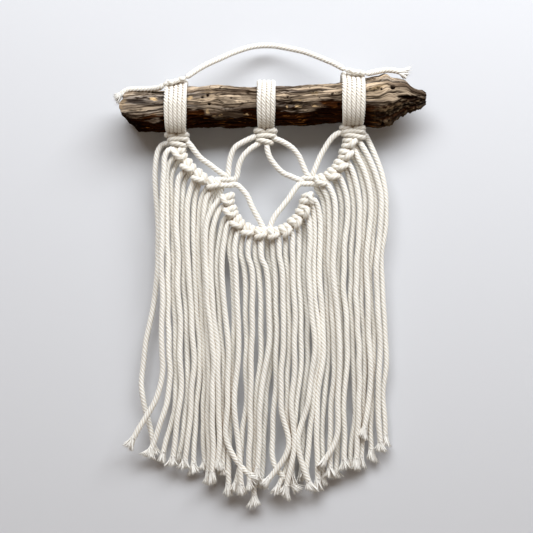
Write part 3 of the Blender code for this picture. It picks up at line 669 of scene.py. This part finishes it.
def make_swag(name, knots, count, joints, cords, strands, y, material):
    """The bar of knots with its joint and cords, and the strands that hang from it."""
    bar = smooth_route(at_depth(knots, y), 1.3)
    shells = Shells()
    half_hitches(shells, bar, count, BAR_CREST)
    for joint in joints:
        rope(shells, at_depth(joint, y), tone=0.2)
    for cord in cords:
        rope(shells, cord)
    shown(name + "_knots", shells, material, "cotton", name)
    shells = Shells()
    for strand in strands:
        start = nearest(bar, strand.root_x, strand.root_z)
        shoulder = SIDE_SHOULDER_Z if y == KNOT_Y else strand.root_z - LOWER_SHOULDER_DROP
        hang(shells, strand, (start[0], start[2]), y, shoulder)
    shown(name + "_strands", shells, material, "cotton", name)


# ---------------------------------------------------------------- the driftwood
BARK_RINGS = 400
BARK_SIDES = 216


def soft_step(low, high, value):
    """From 0 at the low value to 1 at the high one, smoothly."""
    t = np.clip((value - low) / (high - low), 0, 1)
    return t * t * (3 - 2 * t)


def noise_field(xs, ys, zs, octaves=4):
    """Layered noise at many places at once."""
    return np.array([noise.fractal(Vector(place), 0.55, 2.0, octaves) for place in zip(xs, ys, zs)])


# Where the left end is broken off: x by the share of the half height.
BreakPoint = namedtuple("BreakPoint", "share x")
LEFT_BREAK = [BreakPoint(*row) for row in (
    (-1.0, -102.2), (-0.83, -102.0), (-0.66, -102.6), (-0.52, -109.4), (-0.24, -113.8), (0.0, -115.2),
    (0.30, -116.2), (0.55, -113.4), (1.0, -112.4),
)]
# The branch's outline at its broken right end, finer than in the solid: x, top, bottom, half depth.
RIGHT_END = [BranchSection(*row) for row in (
    (81.0, -26.2, -65.0, 18.0), (90.0, -24.6, -66.2, 18.6), (94.8, -22.0, -66.2, 19.0),
    (96.4, -22.4, -64.4, 19.0), (100.0, -25.4, -63.6, 18.4), (103.0, -25.8, -60.8, 17.6),
    (107.0, -26.0, -57.8, 16.4), (112.5, -27.6, -54.2, 13.4), (114.6, -31.0, -53.4, 12.4),
    (118.6, -33.6, -52.4, 10.6), (124.0, -35.6, -49.8, 7.0), (126.4, -36.8, -48.4, 5.6),
    (128.6, -38.4, -46.4, 4.0),
)]
# Heights along the branch where the bare wood ends and the dark bark begins.
BarkLine = namedtuple("BarkLine", "x z")
BARK_LINES = [BarkLine(*row) for row in (
    (-113, -57), (-85, -58), (-63, -52), (-50, -53), (-35, -58.5), (-20, -58), (-8, -52), (10, -48.5),
    (35, -49.5), (60, -48), (80, -48), (95, -47), (105, -43), (115, -40), (125, -38),
)]
# Burls stand out of the bark and the grain parts round them; holes go in; both are on the front.
BarkMark = namedtuple("BarkMark", "x z reach_x reach_z rise")
BURLS = [BarkMark(*row) for row in (
    (87.6, -37.6, 9.5, 5.6, 1.9), (-48.0, -41.6, 8.5, 6.0, 1.3), (16.0, -42.4, 5.0, 4.2, 1.0),
    (-92.0, -44.0, 8.0, 4.0, 0.8), (-29.0, -46.0, 12.0, 6.5, 1.0),
)]
HOLES = [BarkMark(*row) for row in (
    (114.0, -43.4, 8.5, 1.7, -2.6), (100.2, -35.2, 1.9, 1.5, -4.5), (107.8, -30.0, 2.2, 0.8, -2.5),
    (52.4, -40.2, 1.4, 1.2, -3.5), (-44.8, -48.8, 1.1, 0.9, -3.0), (93.0, -63.6, 1.9, 1.4, -3.0),
    (57.4, -49.4, 1.4, 1.4, -2.0), (115.4, -28.6, 0.8, 1.8, -2.0), (82.2, -37.4, 1.2, 0.7, -1.4),
    (85.2, -38.8, 0.9, 0.8, -1.4), (88.0, -37.2, 1.1, 0.7, -1.4), (91.0, -37.8, 0.9, 0.8, -1.4),
    (-50.5, -43.2, 1.2, 0.8, -1.6), (-46.2, -41.6, 1.0, 1.4, -1.4), (-27.5, -44.2, 1.2, 1.0, -1.6),
    (17.0, -43.4, 1.2, 0.9, -1.6),
)]
# Dark stains and seams in the bare wood; here the last number is how dark.
STAINS = [BarkMark(*row) for row in (
    (-30.0, -46.6, 7.0, 3.6, 0.7), (-49.0, -40.5, 5.5, 4.0, 0.45), (15.6, -36.8, 8.0, 0.8, 0.9),
    (37.6, -39.4, 24.0, 0.9, 0.8), (-96.0, -37.0, 16.0, 0.9, 0.9), (90.0, -30.4, 9.5, 0.8, 0.7),
    (-104.0, -46.6, 6.0, 1.2, 0.8), (-90.0, -48.8, 9.0, 1.0, 0.6), (-56.0, -48.4, 7.0, 2.6, 0.8),
    (24.0, -46.6, 11.0, 1.6, 0.6), (-14.0, -44.0, 5.0, 3.0, 0.5), (12.0, -47.0, 4.0, 3.5, 0.8),
    (52.0, -45.0, 9.0, 1.4, 0.6), (86.0, -44.6, 8.0, 1.2, 0.7), (104.0, -39.4, 8.0, 0.8, 0.6),
    (-36.0, -36.6, 11.0, 0.7, 0.6), (-100.0, -54.6, 8.0, 0.9, 0.8),
)]
# Patches of fresh pale wood where the surface has chipped off.
CHIPS = [BarkMark(*row) for row in (
    (26.4, -45.6, 4.2, 1.0, -0.4), (38.8, -40.0, 3.0, 1.1, -0.4), (-90.0, -44.4, 2.8, 1.7, -0.4),
    (26.0, -50.6, 2.4, 1.6, -0.3), (-46.6, -54.6, 1.3, 1.8, -0.3), (38.4, -50.0, 2.4, 1.2, -0.3),
    (-61.0, -44.0, 2.6, 0.8, -0.3), (-15.6, -57.0, 2.0, 0.6, -0.2), (-38.0, -58.0, 4.5, 0.8, -0.2),
    (16.5, -51.0, 1.0, 2.0, -0.2),
)]


def bark_arrays():
    """Places on the smooth branch by ring and side, and the directions outwards."""
    angles = 2 * math.pi * np.arange(BARK_SIDES) / BARK_SIDES
    shares = np.linspace(0, 1, BARK_RINGS)
    left = np.interp(np.sin(angles), *zip(*LEFT_BREAK))
    left = left + 1.1 * noise_field(4 * np.cos(angles), 4 * np.sin(angles), 0 * angles)
    right = BRANCH[-1].x - 5.0 * np.abs(noise_field(3 * np.cos(angles), 3 * np.sin(angles), 0 * angles + 5))
    xs = left + (right - left) * shares[:, None]
    left_end = [BRANCH[2]._replace(x=-118.0, top=-38.0, half_depth=15.0), BRANCH[2]._replace(top=-36.6)]
    table = [*left_end, *BRANCH[3:10], *RIGHT_END]
    fine = np.linspace(-118, 129, 500)
    blur = np.exp(-(np.linspace(-2.5, 2.5, 15) ** 2))
    columns = []
    for field in BranchSection._fields[1:]:
        line = np.interp(fine, [s.x for s in table], [getattr(s, field) for s in table])
        padded = np.pad(line, 7, mode="edge")
        columns.append(np.interp(xs, fine, np.convolve(padded, blur / blur.sum(), mode="valid")))
    ys, zs = bark_places(xs, angles, columns)
    return xs, ys, zs, np.cos(angles), np.sin(angles)


def make_driftwood(material):
    """The branch: lumps, lengthwise grain, cracks, burls, insect holes and broken ends."""
    xs, ys, zs, out_y, out_z = bark_arrays()
    turn = 2 * math.pi * np.arange(BARK_SIDES) / BARK_SIDES + 0 * xs
    # The grain's places are those on a straight log, so that it follows the branch's taper.
    grain_y, grain_z = 16.5 * np.cos(turn), 17 * np.sin(turn) - 49
    flat = [a.ravel() for a in (xs, grain_y, grain_z)]

    def layer(across, along, shift, octaves=4):
        places = (flat[0] / along + shift, flat[1] / across, flat[2] / across)
        return noise_field(*places, octaves).reshape(xs.shape)

    lumps = layer(20, 34, 0.0, 3)
    knobs = layer(6.5, 17, 9.0, 4)
    grain = layer(1.2, 42, 20.0, 3)
    splits = layer(4.5, 70, 31.0, 3)
    edge = layer(6.0, 22, 47.0, 4)
    crumbs = layer(2.6, 3.4, 60.0, 3)
    line = np.interp(xs, *zip(*BARK_LINES))
    bare = soft_step(-2.5, 2.5, zs - line + 7 * edge + 2 * grain)
    crack = (1 - soft_step(0.0, 0.035, np.abs(splits))) * soft_step(-0.1, 0.15, knobs)
    ragged_end = np.clip((xs - 86) / 12, 0, 1) + np.clip((-104 - xs) / 8, 0, 1)
    push = 1.5 * lumps + 0.4 * knobs + 0.3 * grain - 0.6 * bare - 1.2 * crack
    push = push + crumbs * (0.3 + 1.4 * ragged_end * (1 - soft_step(-6.0, 2.0, zs - line))) * (1.05 - bare)
    from_left = xs - xs[0]
    height = np.sin(turn)
    shaded_break = 1 - soft_step(2.0, 5.0, from_left + 3 * crumbs)
    shaded_break = shaded_break * soft_step(0.02, -0.14, height + 0.2 * edge)
    pale_break = (1 - soft_step(2.0, 6.5, from_left + 5 * crumbs)) * soft_step(-0.04, 0.12, height)
    pale_break = pale_break * (1 - soft_step(0.4, 0.6, height))
    # Bare wood is painted darker over its lowest 15 mm above the bark line: painted shade on the branch's
    # lower side.
    low = 1 - soft_step(-1.0, 15.0, zs - line + 5 * edge)
    dark = np.maximum(np.maximum(0.9 * crack, 0.42 * low * bare), 0.95 * shaded_break)
    right_end = soft_step(80, 96, xs)
    flaked = 0.12 * right_end * (1 - bare) * soft_step(0.1, 0.4, crumbs + 0.5 * edge)
    fresh = np.maximum(0.35 * pale_break, flaked)
    bare = np.maximum(bare, 0.10 * right_end)
    flow_z = grain_z + 2.4 * lumps + 0.6 * edge
    front = ys < BRANCH_Y
    for marks in (BURLS, HOLES, STAINS, CHIPS):
        for mark in marks:
            reach = np.hypot((xs - mark.x) / mark.reach_x, (zs - mark.z) / mark.reach_z)
            reach = np.where(front, reach, 9.0)
            near = np.exp(-(reach**2) * 1.1)
            if marks is BURLS:
                push = push + mark.rise * near + 0.4 * near * np.cos(reach * 11 + 5 * knobs)
                flow_z = flow_z - 0.62 * near * (zs - mark.z)
                fresh = np.maximum(fresh, 0.45 * near * soft_step(-0.1, 0.2, grain) * (mark.rise > 1.1))
                rim = 1 - soft_step(0.03, 0.16, np.abs(reach - 1.0 + 0.5 * edge))
                dark = np.maximum(dark, 0.7 * rim * soft_step(-0.15, 0.1, splits))
            elif marks is HOLES:
                ragged = reach + 0.5 * knobs + 0.2 * grain
                push = push + mark.rise * (1 - soft_step(0.6, 1.2, ragged))
                # The holes are painted dark inside: painted shade in the recess.
                dark = np.maximum(dark, 1 - soft_step(0.8, 1.25, ragged))
            elif marks is STAINS:
                ragged = reach + 0.9 * edge + 0.6 * grain
                dark = np.maximum(dark, mark.rise * (1 - soft_step(0.55, 1.25, ragged)))
            else:
                ragged = 1.15 * reach + 0.6 * edge + 1.5 * crumbs + 0.7 * grain
                push = push + mark.rise * (1 - soft_step(0.6, 1.2, ragged))
                fresh = np.maximum(fresh, 1 - soft_step(0.55, 1.1, ragged))
    ys = ys + out_y * push
    zs = zs + out_z * push
    rings = np.stack([xs, ys, zs], axis=-1)
    values = {"bare": bare, "dark": dark, "fresh": fresh, "flow": np.stack([xs, grain_y, flow_z], axis=-1)}
    # The ends close over in a few rough rings.
    ends = []
    for ring, x_end in ((rings[0], -115.0), (rings[-1], 126.5)):
        middle = ring.mean(axis=0)
        middle[0] = x_end
        closing = []
        for share in (0.06, 0.16, 0.32, 0.52, 0.75, 0.93):
            inner = ring + (middle - ring) * share
            rough = noise_field(*(inner / 3.1).T, 4) * 1.5 * math.sin(math.pi * min(share * 1.5, 1) / 2)
            inner = inner + np.stack([rough, 0 * rough, 0 * rough], axis=-1)
            closing.append(inner)
        ends.append(closing)
    rings = np.concatenate([np.array(ends[0][::-1]), rings, np.array(ends[1])])
    added = len(ends[0])
    for name, value in values.items():
        first, last = np.repeat(value[:1], added, 0), np.repeat(value[-1:], added, 0)
        values[name] = np.concatenate([first, value, last])
    for end in (slice(None, added), slice(-added, None)):
        values["flow"][end] = rings[end][..., [1, 0, 2]] * (8.0, 1.0, 1.0)
    values["bare"][:added] = 0.75
    shells = Shells()
    shells.add(rings[:, ::-1], **{name: value[:, ::-1] for name, value in values.items()})
    shown("driftwood", shells, material, "driftwood", "driftwood_branch")


# ---------------------------------------------------------------- materials
class Nodes:
    """Short calls for the nodes of one material."""

    def __init__(self, name):
        self.material = bpy.data.materials.new(name)
        self.material.use_nodes = True
        self.tree = self.material.node_tree
        self.shader = self.tree.nodes["Principled BSDF"]
        self.output = self.tree.nodes["Material Output"]

    def node(self, kind, inputs=None, **settings):
        made = self.tree.nodes.new(kind)
        for name, value in settings.items():
            setattr(made, name, value)
        for key, value in (inputs or {}).items():
            if isinstance(value, bpy.types.NodeSocket):
                self.tree.links.new(value, made.inputs[key])
            else:
                made.inputs[key].default_value = value
        return made

    def field(self, name, output="Fac"):
        return self.node("ShaderNodeAttribute", attribute_name=name).outputs[output]

    def noise(self, place, scale, detail, roughness=0.55):
        moved = self.node("ShaderNodeMapping", {"Vector": place, "Scale": scale}).outputs[0]
        settings = {"Vector": moved, "Scale": 1.0, "Detail": detail, "Roughness": roughness}
        return self.node("ShaderNodeTexNoise", settings).outputs["Fac"]

    def step(self, value, low, high, to_low=0.0, to_high=1.0):
        made = self.node(
            "ShaderNodeMapRange",
            {"Value": value, "From Min": low, "From Max": high, "To Min": to_low, "To Max": to_high},
            interpolation_type="SMOOTHSTEP",
        )
        return made.outputs["Result"]

    def lines(self, value, width):
        """Thin lines where a noise crosses its middle."""
        off = self.reckon(value, 0.5, "SUBTRACT")
        far = self.node("ShaderNodeMath", {0: off}, operation="ABSOLUTE").outputs[0]
        return self.step(far, 0.0, width, 1.0, 0.0)

    def reckon(self, a, b, operation="MULTIPLY"):
        return self.node("ShaderNodeMath", {0: a, 1: b}, operation=operation).outputs[0]

    def mix(self, share, a, b):
        made = self.node("ShaderNodeMix", data_type="RGBA")
        for key, value in (("Factor", share), ("A", a), ("B", b)):
            socket = next(s for s in made.inputs if s.enabled and s.name == key)
            if isinstance(value, bpy.types.NodeSocket):
                self.tree.links.new(value, socket)
            else:
                socket.default_value = (*value, 1.0) if isinstance(value, tuple) else value
        return next(s for s in made.outputs if s.enabled)

    def surface(self, colour, roughness, bump_height, bump_distance, bump_strength):
        self.tree.links.new(colour, self.shader.inputs["Base Color"])
        self.shader.inputs["Roughness"].default_value = roughness
        settings = {"Height": bump_height, "Distance": bump_distance, "Strength": bump_strength}
        bump = self.node("ShaderNodeBump", settings)
        self.tree.links.new(bump.outputs["Normal"], self.shader.inputs["Normal"])


def cotton_material():
    """Undyed cotton: warm white crests, fine yarns along the cord, and painted shade: tan in the grooves
    between the plies, brown in crevices, darker in the knots and at the straps' lower ends.
    """
    n = Nodes("cotton")
    lie = n.field("lie", "Vector")
    yarns = n.noise(lie, (3.2, 3.2, 0.22), 3.0, 0.6)
    blotches = n.noise(lie, (0.25, 0.25, 0.045), 2.0)
    # The grooves between the plies are painted tan: painted shade in the creases.
    deep = n.step(n.field("groove"), 0.42, 1.0, 0.0, 0.9)
    # Tone darkens the crest: a little at random on each cord, and much more in the knots and at the straps'
    # lower ends, where it is painted shade.
    crest = n.mix(n.field("tone"), (0.92, 0.915, 0.875), (0.72, 0.695, 0.63))
    crest = n.mix(n.step(yarns, 0.3, 0.7, 0.4, 0.0), crest, (0.82, 0.79, 0.715))
    crest = n.mix(n.step(blotches, 0.42, 0.75, 0.0, 0.35), crest, (0.87, 0.84, 0.765))
    colour = n.mix(deep, crest, (0.70, 0.64, 0.53))
    # Crevices that little light reaches are painted brown: painted shade from an occlusion node.
    open_to_light = n.node("ShaderNodeAmbientOcclusion", {"Distance": 0.005}, samples=8).outputs["AO"]
    colour = n.mix(n.step(open_to_light, 0.06, 0.50, 0.85, 0.0), colour, (0.50, 0.355, 0.215))
    n.surface(colour, 0.95, yarns, 0.0003, 0.6)
    n.shader.inputs["Sheen Weight"].default_value = 0.15
    n.shader.inputs["Sheen Roughness"].default_value = 0.6
    n.shader.inputs["Specular IOR Level"].default_value = 0.2
    return n.material


def driftwood_material():
    """Weathered bare wood above, grey and tan with long dark grain; dark flecked bark below."""
    n = Nodes("driftwood")
    flow = n.field("flow", "Vector")
    tones = n.noise(flow, (0.014, 0.10, 0.10), 3.0, 0.5)
    greys = n.noise(flow, (0.018, 0.17, 0.17), 2.5, 0.5)
    grain = n.noise(flow, (0.012, 0.50, 0.50), 2.5, 0.5)
    fine = n.noise(flow, (0.05, 1.8, 1.8), 3.0, 0.6)
    cracks = n.lines(n.noise(flow, (0.008, 0.13, 0.13), 2.0, 0.5), 0.028)
    lines = n.lines(n.noise(flow, (0.007, 0.26, 0.26), 2.0, 0.5), 0.048)
    pits = n.noise(flow, (0.16, 0.6, 0.6), 4.0, 0.7)
    flecks = n.noise(flow, (0.05, 0.42, 0.42), 3.0, 0.65)
    bare = n.mix(n.step(tones, 0.34, 0.60), (0.105, 0.073, 0.050), (0.74, 0.58, 0.41))
    bare = n.mix(n.step(greys, 0.48, 0.66, 0.0, 0.8), bare, (0.36, 0.32, 0.285))
    bare = n.mix(n.step(grain, 0.46, 0.66, 0.0, 0.85), bare, (0.085, 0.055, 0.035))
    bare = n.mix(n.step(fine, 0.35, 0.65, 0.35, 0.0), bare, (0.12, 0.082, 0.055))
    bare = n.mix(n.reckon(lines, 0.95), bare, (0.018, 0.010, 0.006))
    bare = n.mix(n.step(pits, 0.68, 0.75, 0.0, 0.8), bare, (0.05, 0.032, 0.02))
    bark = n.mix(n.step(grain, 0.40, 0.66), (0.004, 0.001, 0.0005), (0.036, 0.011, 0.003))
    bark = n.mix(n.step(flecks, 0.57, 0.70, 0.0, 0.75), bark, (0.26, 0.105, 0.024))
    bark = n.mix(n.reckon(lines, 0.7), bark, (0.004, 0.0015, 0.001))
    colour = n.mix(n.field("bare"), bark, bare)
    colour = n.mix(n.reckon(cracks, 0.9), colour, (0.012, 0.006, 0.003))
    colour = n.mix(n.field("fresh"), colour, (0.62, 0.44, 0.24))
    # dark: cracks, stains and burl rims, and painted shade at the foot of the broken left end, inside the
    # holes and low on the bare wood.
    colour = n.mix(n.field("dark"), colour, (0.008, 0.003, 0.0015))
    hollow = n.reckon(n.reckon(cracks, 1.2), n.reckon(lines, 0.8), "ADD")
    height = n.reckon(n.reckon(fine, grain, "SUBTRACT"), hollow, "SUBTRACT")
    n.surface(colour, 0.9, height, 0.0006, 0.6)
    n.shader.inputs["Specular IOR Level"].default_value = 0.0
    return n.material


# ---------------------------------------------------------------- making it all
def hanger(material):
    """The hanger cord, its knots on the straps and its frayed tails."""
    ends = ((LEFT_TAIL[0], HANGER_ARCH[0]), (HANGER_ARCH[-1], RIGHT_TAIL[0]))
    for knot, (start, end) in zip(HANGER_KNOTS, ends):
        shells = Shells()
        middle = (knot.left * 0.5 + knot.right * 0.5, knot.y - 0.2, (start[2] + end[2]) / 2 - 0.4)
        bar = smooth_route([start, middle, end], 1.0)
        rope(shells, bar, width=CORD, tone=0.1)
        run = run_along(bar)
        for at in (0.3, 0.8):
            wrap(shells, bar, run, at * run[-1], 3.2, 3.0, 0.9)
        shown(knot.name + "_turns", shells, material, "cotton", knot.name)
    for name, points, far_end, flare in (
        ("hanger_arch", HANGER_ARCH, "object", 0.0),
        ("hanger_tail_left", LEFT_TAIL, "bare", 2.0),
        ("hanger_tail_right", RIGHT_TAIL, "bare", 2.8),
    ):
        shells = Shells()
        path = rope(shells, points, tone=0.1)
        cord = shown(name + "_cord", shells, material, "cotton", name)
        if far_end == "bare":
            tuft = Shells()
            way = path[-1] - path[-6]
            way /= np.linalg.norm(way)
            fray(tuft, path[-1] - way * 3, way, flare, 9.0, width=CORD, yarns=40)
            shown(name + "_fray", tuft, material, "cotton")


def make_object():
    cotton, wood = cotton_material(), driftwood_material()
    hanger(cotton)
    make_driftwood(wood)
    for strap in STRAPS:
        shells = Shells()
        strap_cords(shells, strap)
        square_knot(shells, strap.knot_rows, KNOT_Y + KNOT_BACK)
        for arch in strap.arches:
            ahead = [*ARCH_FORWARD, *[0.0] * len(arch)]
            rope(shells, [(x, KNOT_Y - forward, z) for (x, z), forward in zip(arch, ahead)])
        if strap.name in KNOT_STRANDS:
            name, start = KNOT_STRANDS[strap.name]
            strand = next(s for s in LEFT_STRANDS + RIGHT_STRANDS if s.name == name)
            hang(shells, strand, start, KNOT_Y - KNOT_STRAND_FORWARD, SIDE_SHOULDER_Z)
        shown(strap.name + "_cords", shells, cotton, "cotton", strap.name)
    in_straps = [name for name, _ in KNOT_STRANDS.values()]
    left = [s for s in LEFT_STRANDS if s.name not in in_straps]
    right = [s for s in RIGHT_STRANDS if s.name not in in_straps]
    make_swag("swag_left", LEFT_SWAG, 4, LEFT_JOINT, [], left, KNOT_Y, cotton)
    make_swag("swag_right", RIGHT_SWAG, 5, RIGHT_JOINT, [], right, KNOT_Y, cotton)
    v_cords = []
    for points in (LEFT_V_CORD, RIGHT_V_CORD):  # they lean forwards, from the side swags to the lower one
        depths = np.linspace(KNOT_Y, LOWER_Y, len(points))
        v_cords.append([(x, y, z) for (x, z), y in zip(points, depths)])
    make_swag("swag_lower", LOWER_SWAG, 10, LOWER_JOINT, v_cords, LOWER_STRANDS, LOWER_Y, cotton)


# ---------------------------------------------------------------- stage, light and camera
PICTURE = 0.4264  # width of the photograph's field at the object, in metres
CAMERA_AWAY = 1.1
CENTRE = Vector((0.0004, KNOT_Y * MM, -0.1772))
WALL_Y = 0.0099  # the wall just behind the straps, and how it leans towards the strands below
WALL_Z = -0.058
WALL_LEAN = 0.054
WALL_TOP = 1.5
WALL_REACH = 3.0  # half the wall's width, and the floor's
FLOOR_REACH = 4.0
FLOOR_Z = -1.6
WORLD_LIGHT = (1.0, 0.72, 0.50, 1.0)  # warm light from all round, and the pale ground that the camera sees
WORLD_STRENGTH = 0.15
WORLD_SEEN = (0.86, 0.865, 0.875, 1.0)

# The lights, placed from the object's middle, at which they aim: metres, then watts.
Light = namedtuple("Light", "name place size power colour")
LIGHTS = [
    Light("window", (0.19, -0.87, 0.915), (1.90, 0.60), 31.6, (0.97, 1.0, 1.04)),
    Light("rear_fill", (-0.7, 1.2, 0.7), (0.9, 0.9), 9.0, (1.0, 1.0, 1.0)),
]


def plain(name, colour):
    n = Nodes(name)
    n.shader.inputs["Base Color"].default_value = (*colour, 1.0)
    n.shader.inputs["Roughness"].default_value = 0.9
    n.shader.inputs["Specular IOR Level"].default_value = 0.1
    return n


def staged_plane(name, corners, material):
    mesh = bpy.data.meshes.new(name)
    mesh.from_pydata(corners, [], [(0, 1, 2, 3)])
    mesh.materials.append(material)
    made = bpy.data.objects.new(name, mesh)
    bpy.context.scene.collection.objects.link(made)


def make_stage():
    """A pale floor, and a pale wall just behind the piece that only its front side shows."""
    floor = plain("floor", (0.80, 0.73, 0.64))
    reach = FLOOR_REACH
    corners = [(x * reach, y * reach, FLOOR_Z) for x, y in ((-1, -1), (1, -1), (1, 1), (-1, 1))]
    staged_plane("floor", corners, floor.material)
    wall = plain("wall", (0.62, 0.63, 0.65))
    side = wall.node("ShaderNodeNewGeometry").outputs["Backfacing"]
    clear = wall.node("ShaderNodeBsdfTransparent")
    shown_side = wall.node("ShaderNodeMixShader", {0: side, 1: wall.shader.outputs[0], 2: clear.outputs[0]})
    wall.tree.links.new(shown_side.outputs[0], wall.output.inputs["Surface"])
    corners = []
    for x, z in ((-1, FLOOR_Z), (1, FLOOR_Z), (1, WALL_TOP), (-1, WALL_TOP)):
        corners.append((x * WALL_REACH, WALL_Y + WALL_LEAN * (z - WALL_Z), z))
    staged_plane("wall", corners, wall.material)


def add_area_light(light):
    data = bpy.data.lights.new(light.name, "AREA")
    data.shape = "RECTANGLE"
    data.size, data.size_y = light.size
    data.energy = light.power
    data.color = light.colour
    made = bpy.data.objects.new(light.name, data)
    made.location = CENTRE + Vector(light.place)
    made.rotation_euler = (CENTRE - made.location).to_track_quat("-Z", "Y").to_euler()
    bpy.context.scene.collection.objects.link(made)


def make_light_and_camera():
    scene = bpy.context.scene
    for light in LIGHTS:
        add_area_light(light)
    world = bpy.data.worlds.new("studio")
    scene.world = world
    world.use_nodes = True
    tree = world.node_tree
    background = tree.nodes["Background"]
    background.inputs["Color"].default_value = WORLD_LIGHT
    background.inputs["Strength"].default_value = WORLD_STRENGTH
    pale = tree.nodes.new("ShaderNodeBackground")
    pale.inputs["Color"].default_value = WORLD_SEEN
    choose = tree.nodes.new("ShaderNodeMixShader")
    tree.links.new(tree.nodes.new("ShaderNodeLightPath").outputs["Is Camera Ray"], choose.inputs[0])
    tree.links.new(background.outputs[0], choose.inputs[1])
    tree.links.new(pale.outputs[0], choose.inputs[2])
    tree.links.new(choose.outputs[0], tree.nodes["World Output"].inputs["Surface"])
    data = bpy.data.cameras.new("camera")
    data.lens = data.sensor_width * CAMERA_AWAY / PICTURE
    camera = bpy.data.objects.new("camera", data)
    camera.location = CENTRE + Vector((0, -CAMERA_AWAY, 0))
    camera.rotation_euler = (math.pi / 2, 0, 0)
    scene.collection.objects.link(camera)
    scene.camera = camera
    scene.view_settings.view_transform = "Standard"


make_light_and_camera()
make_object()
make_stage()
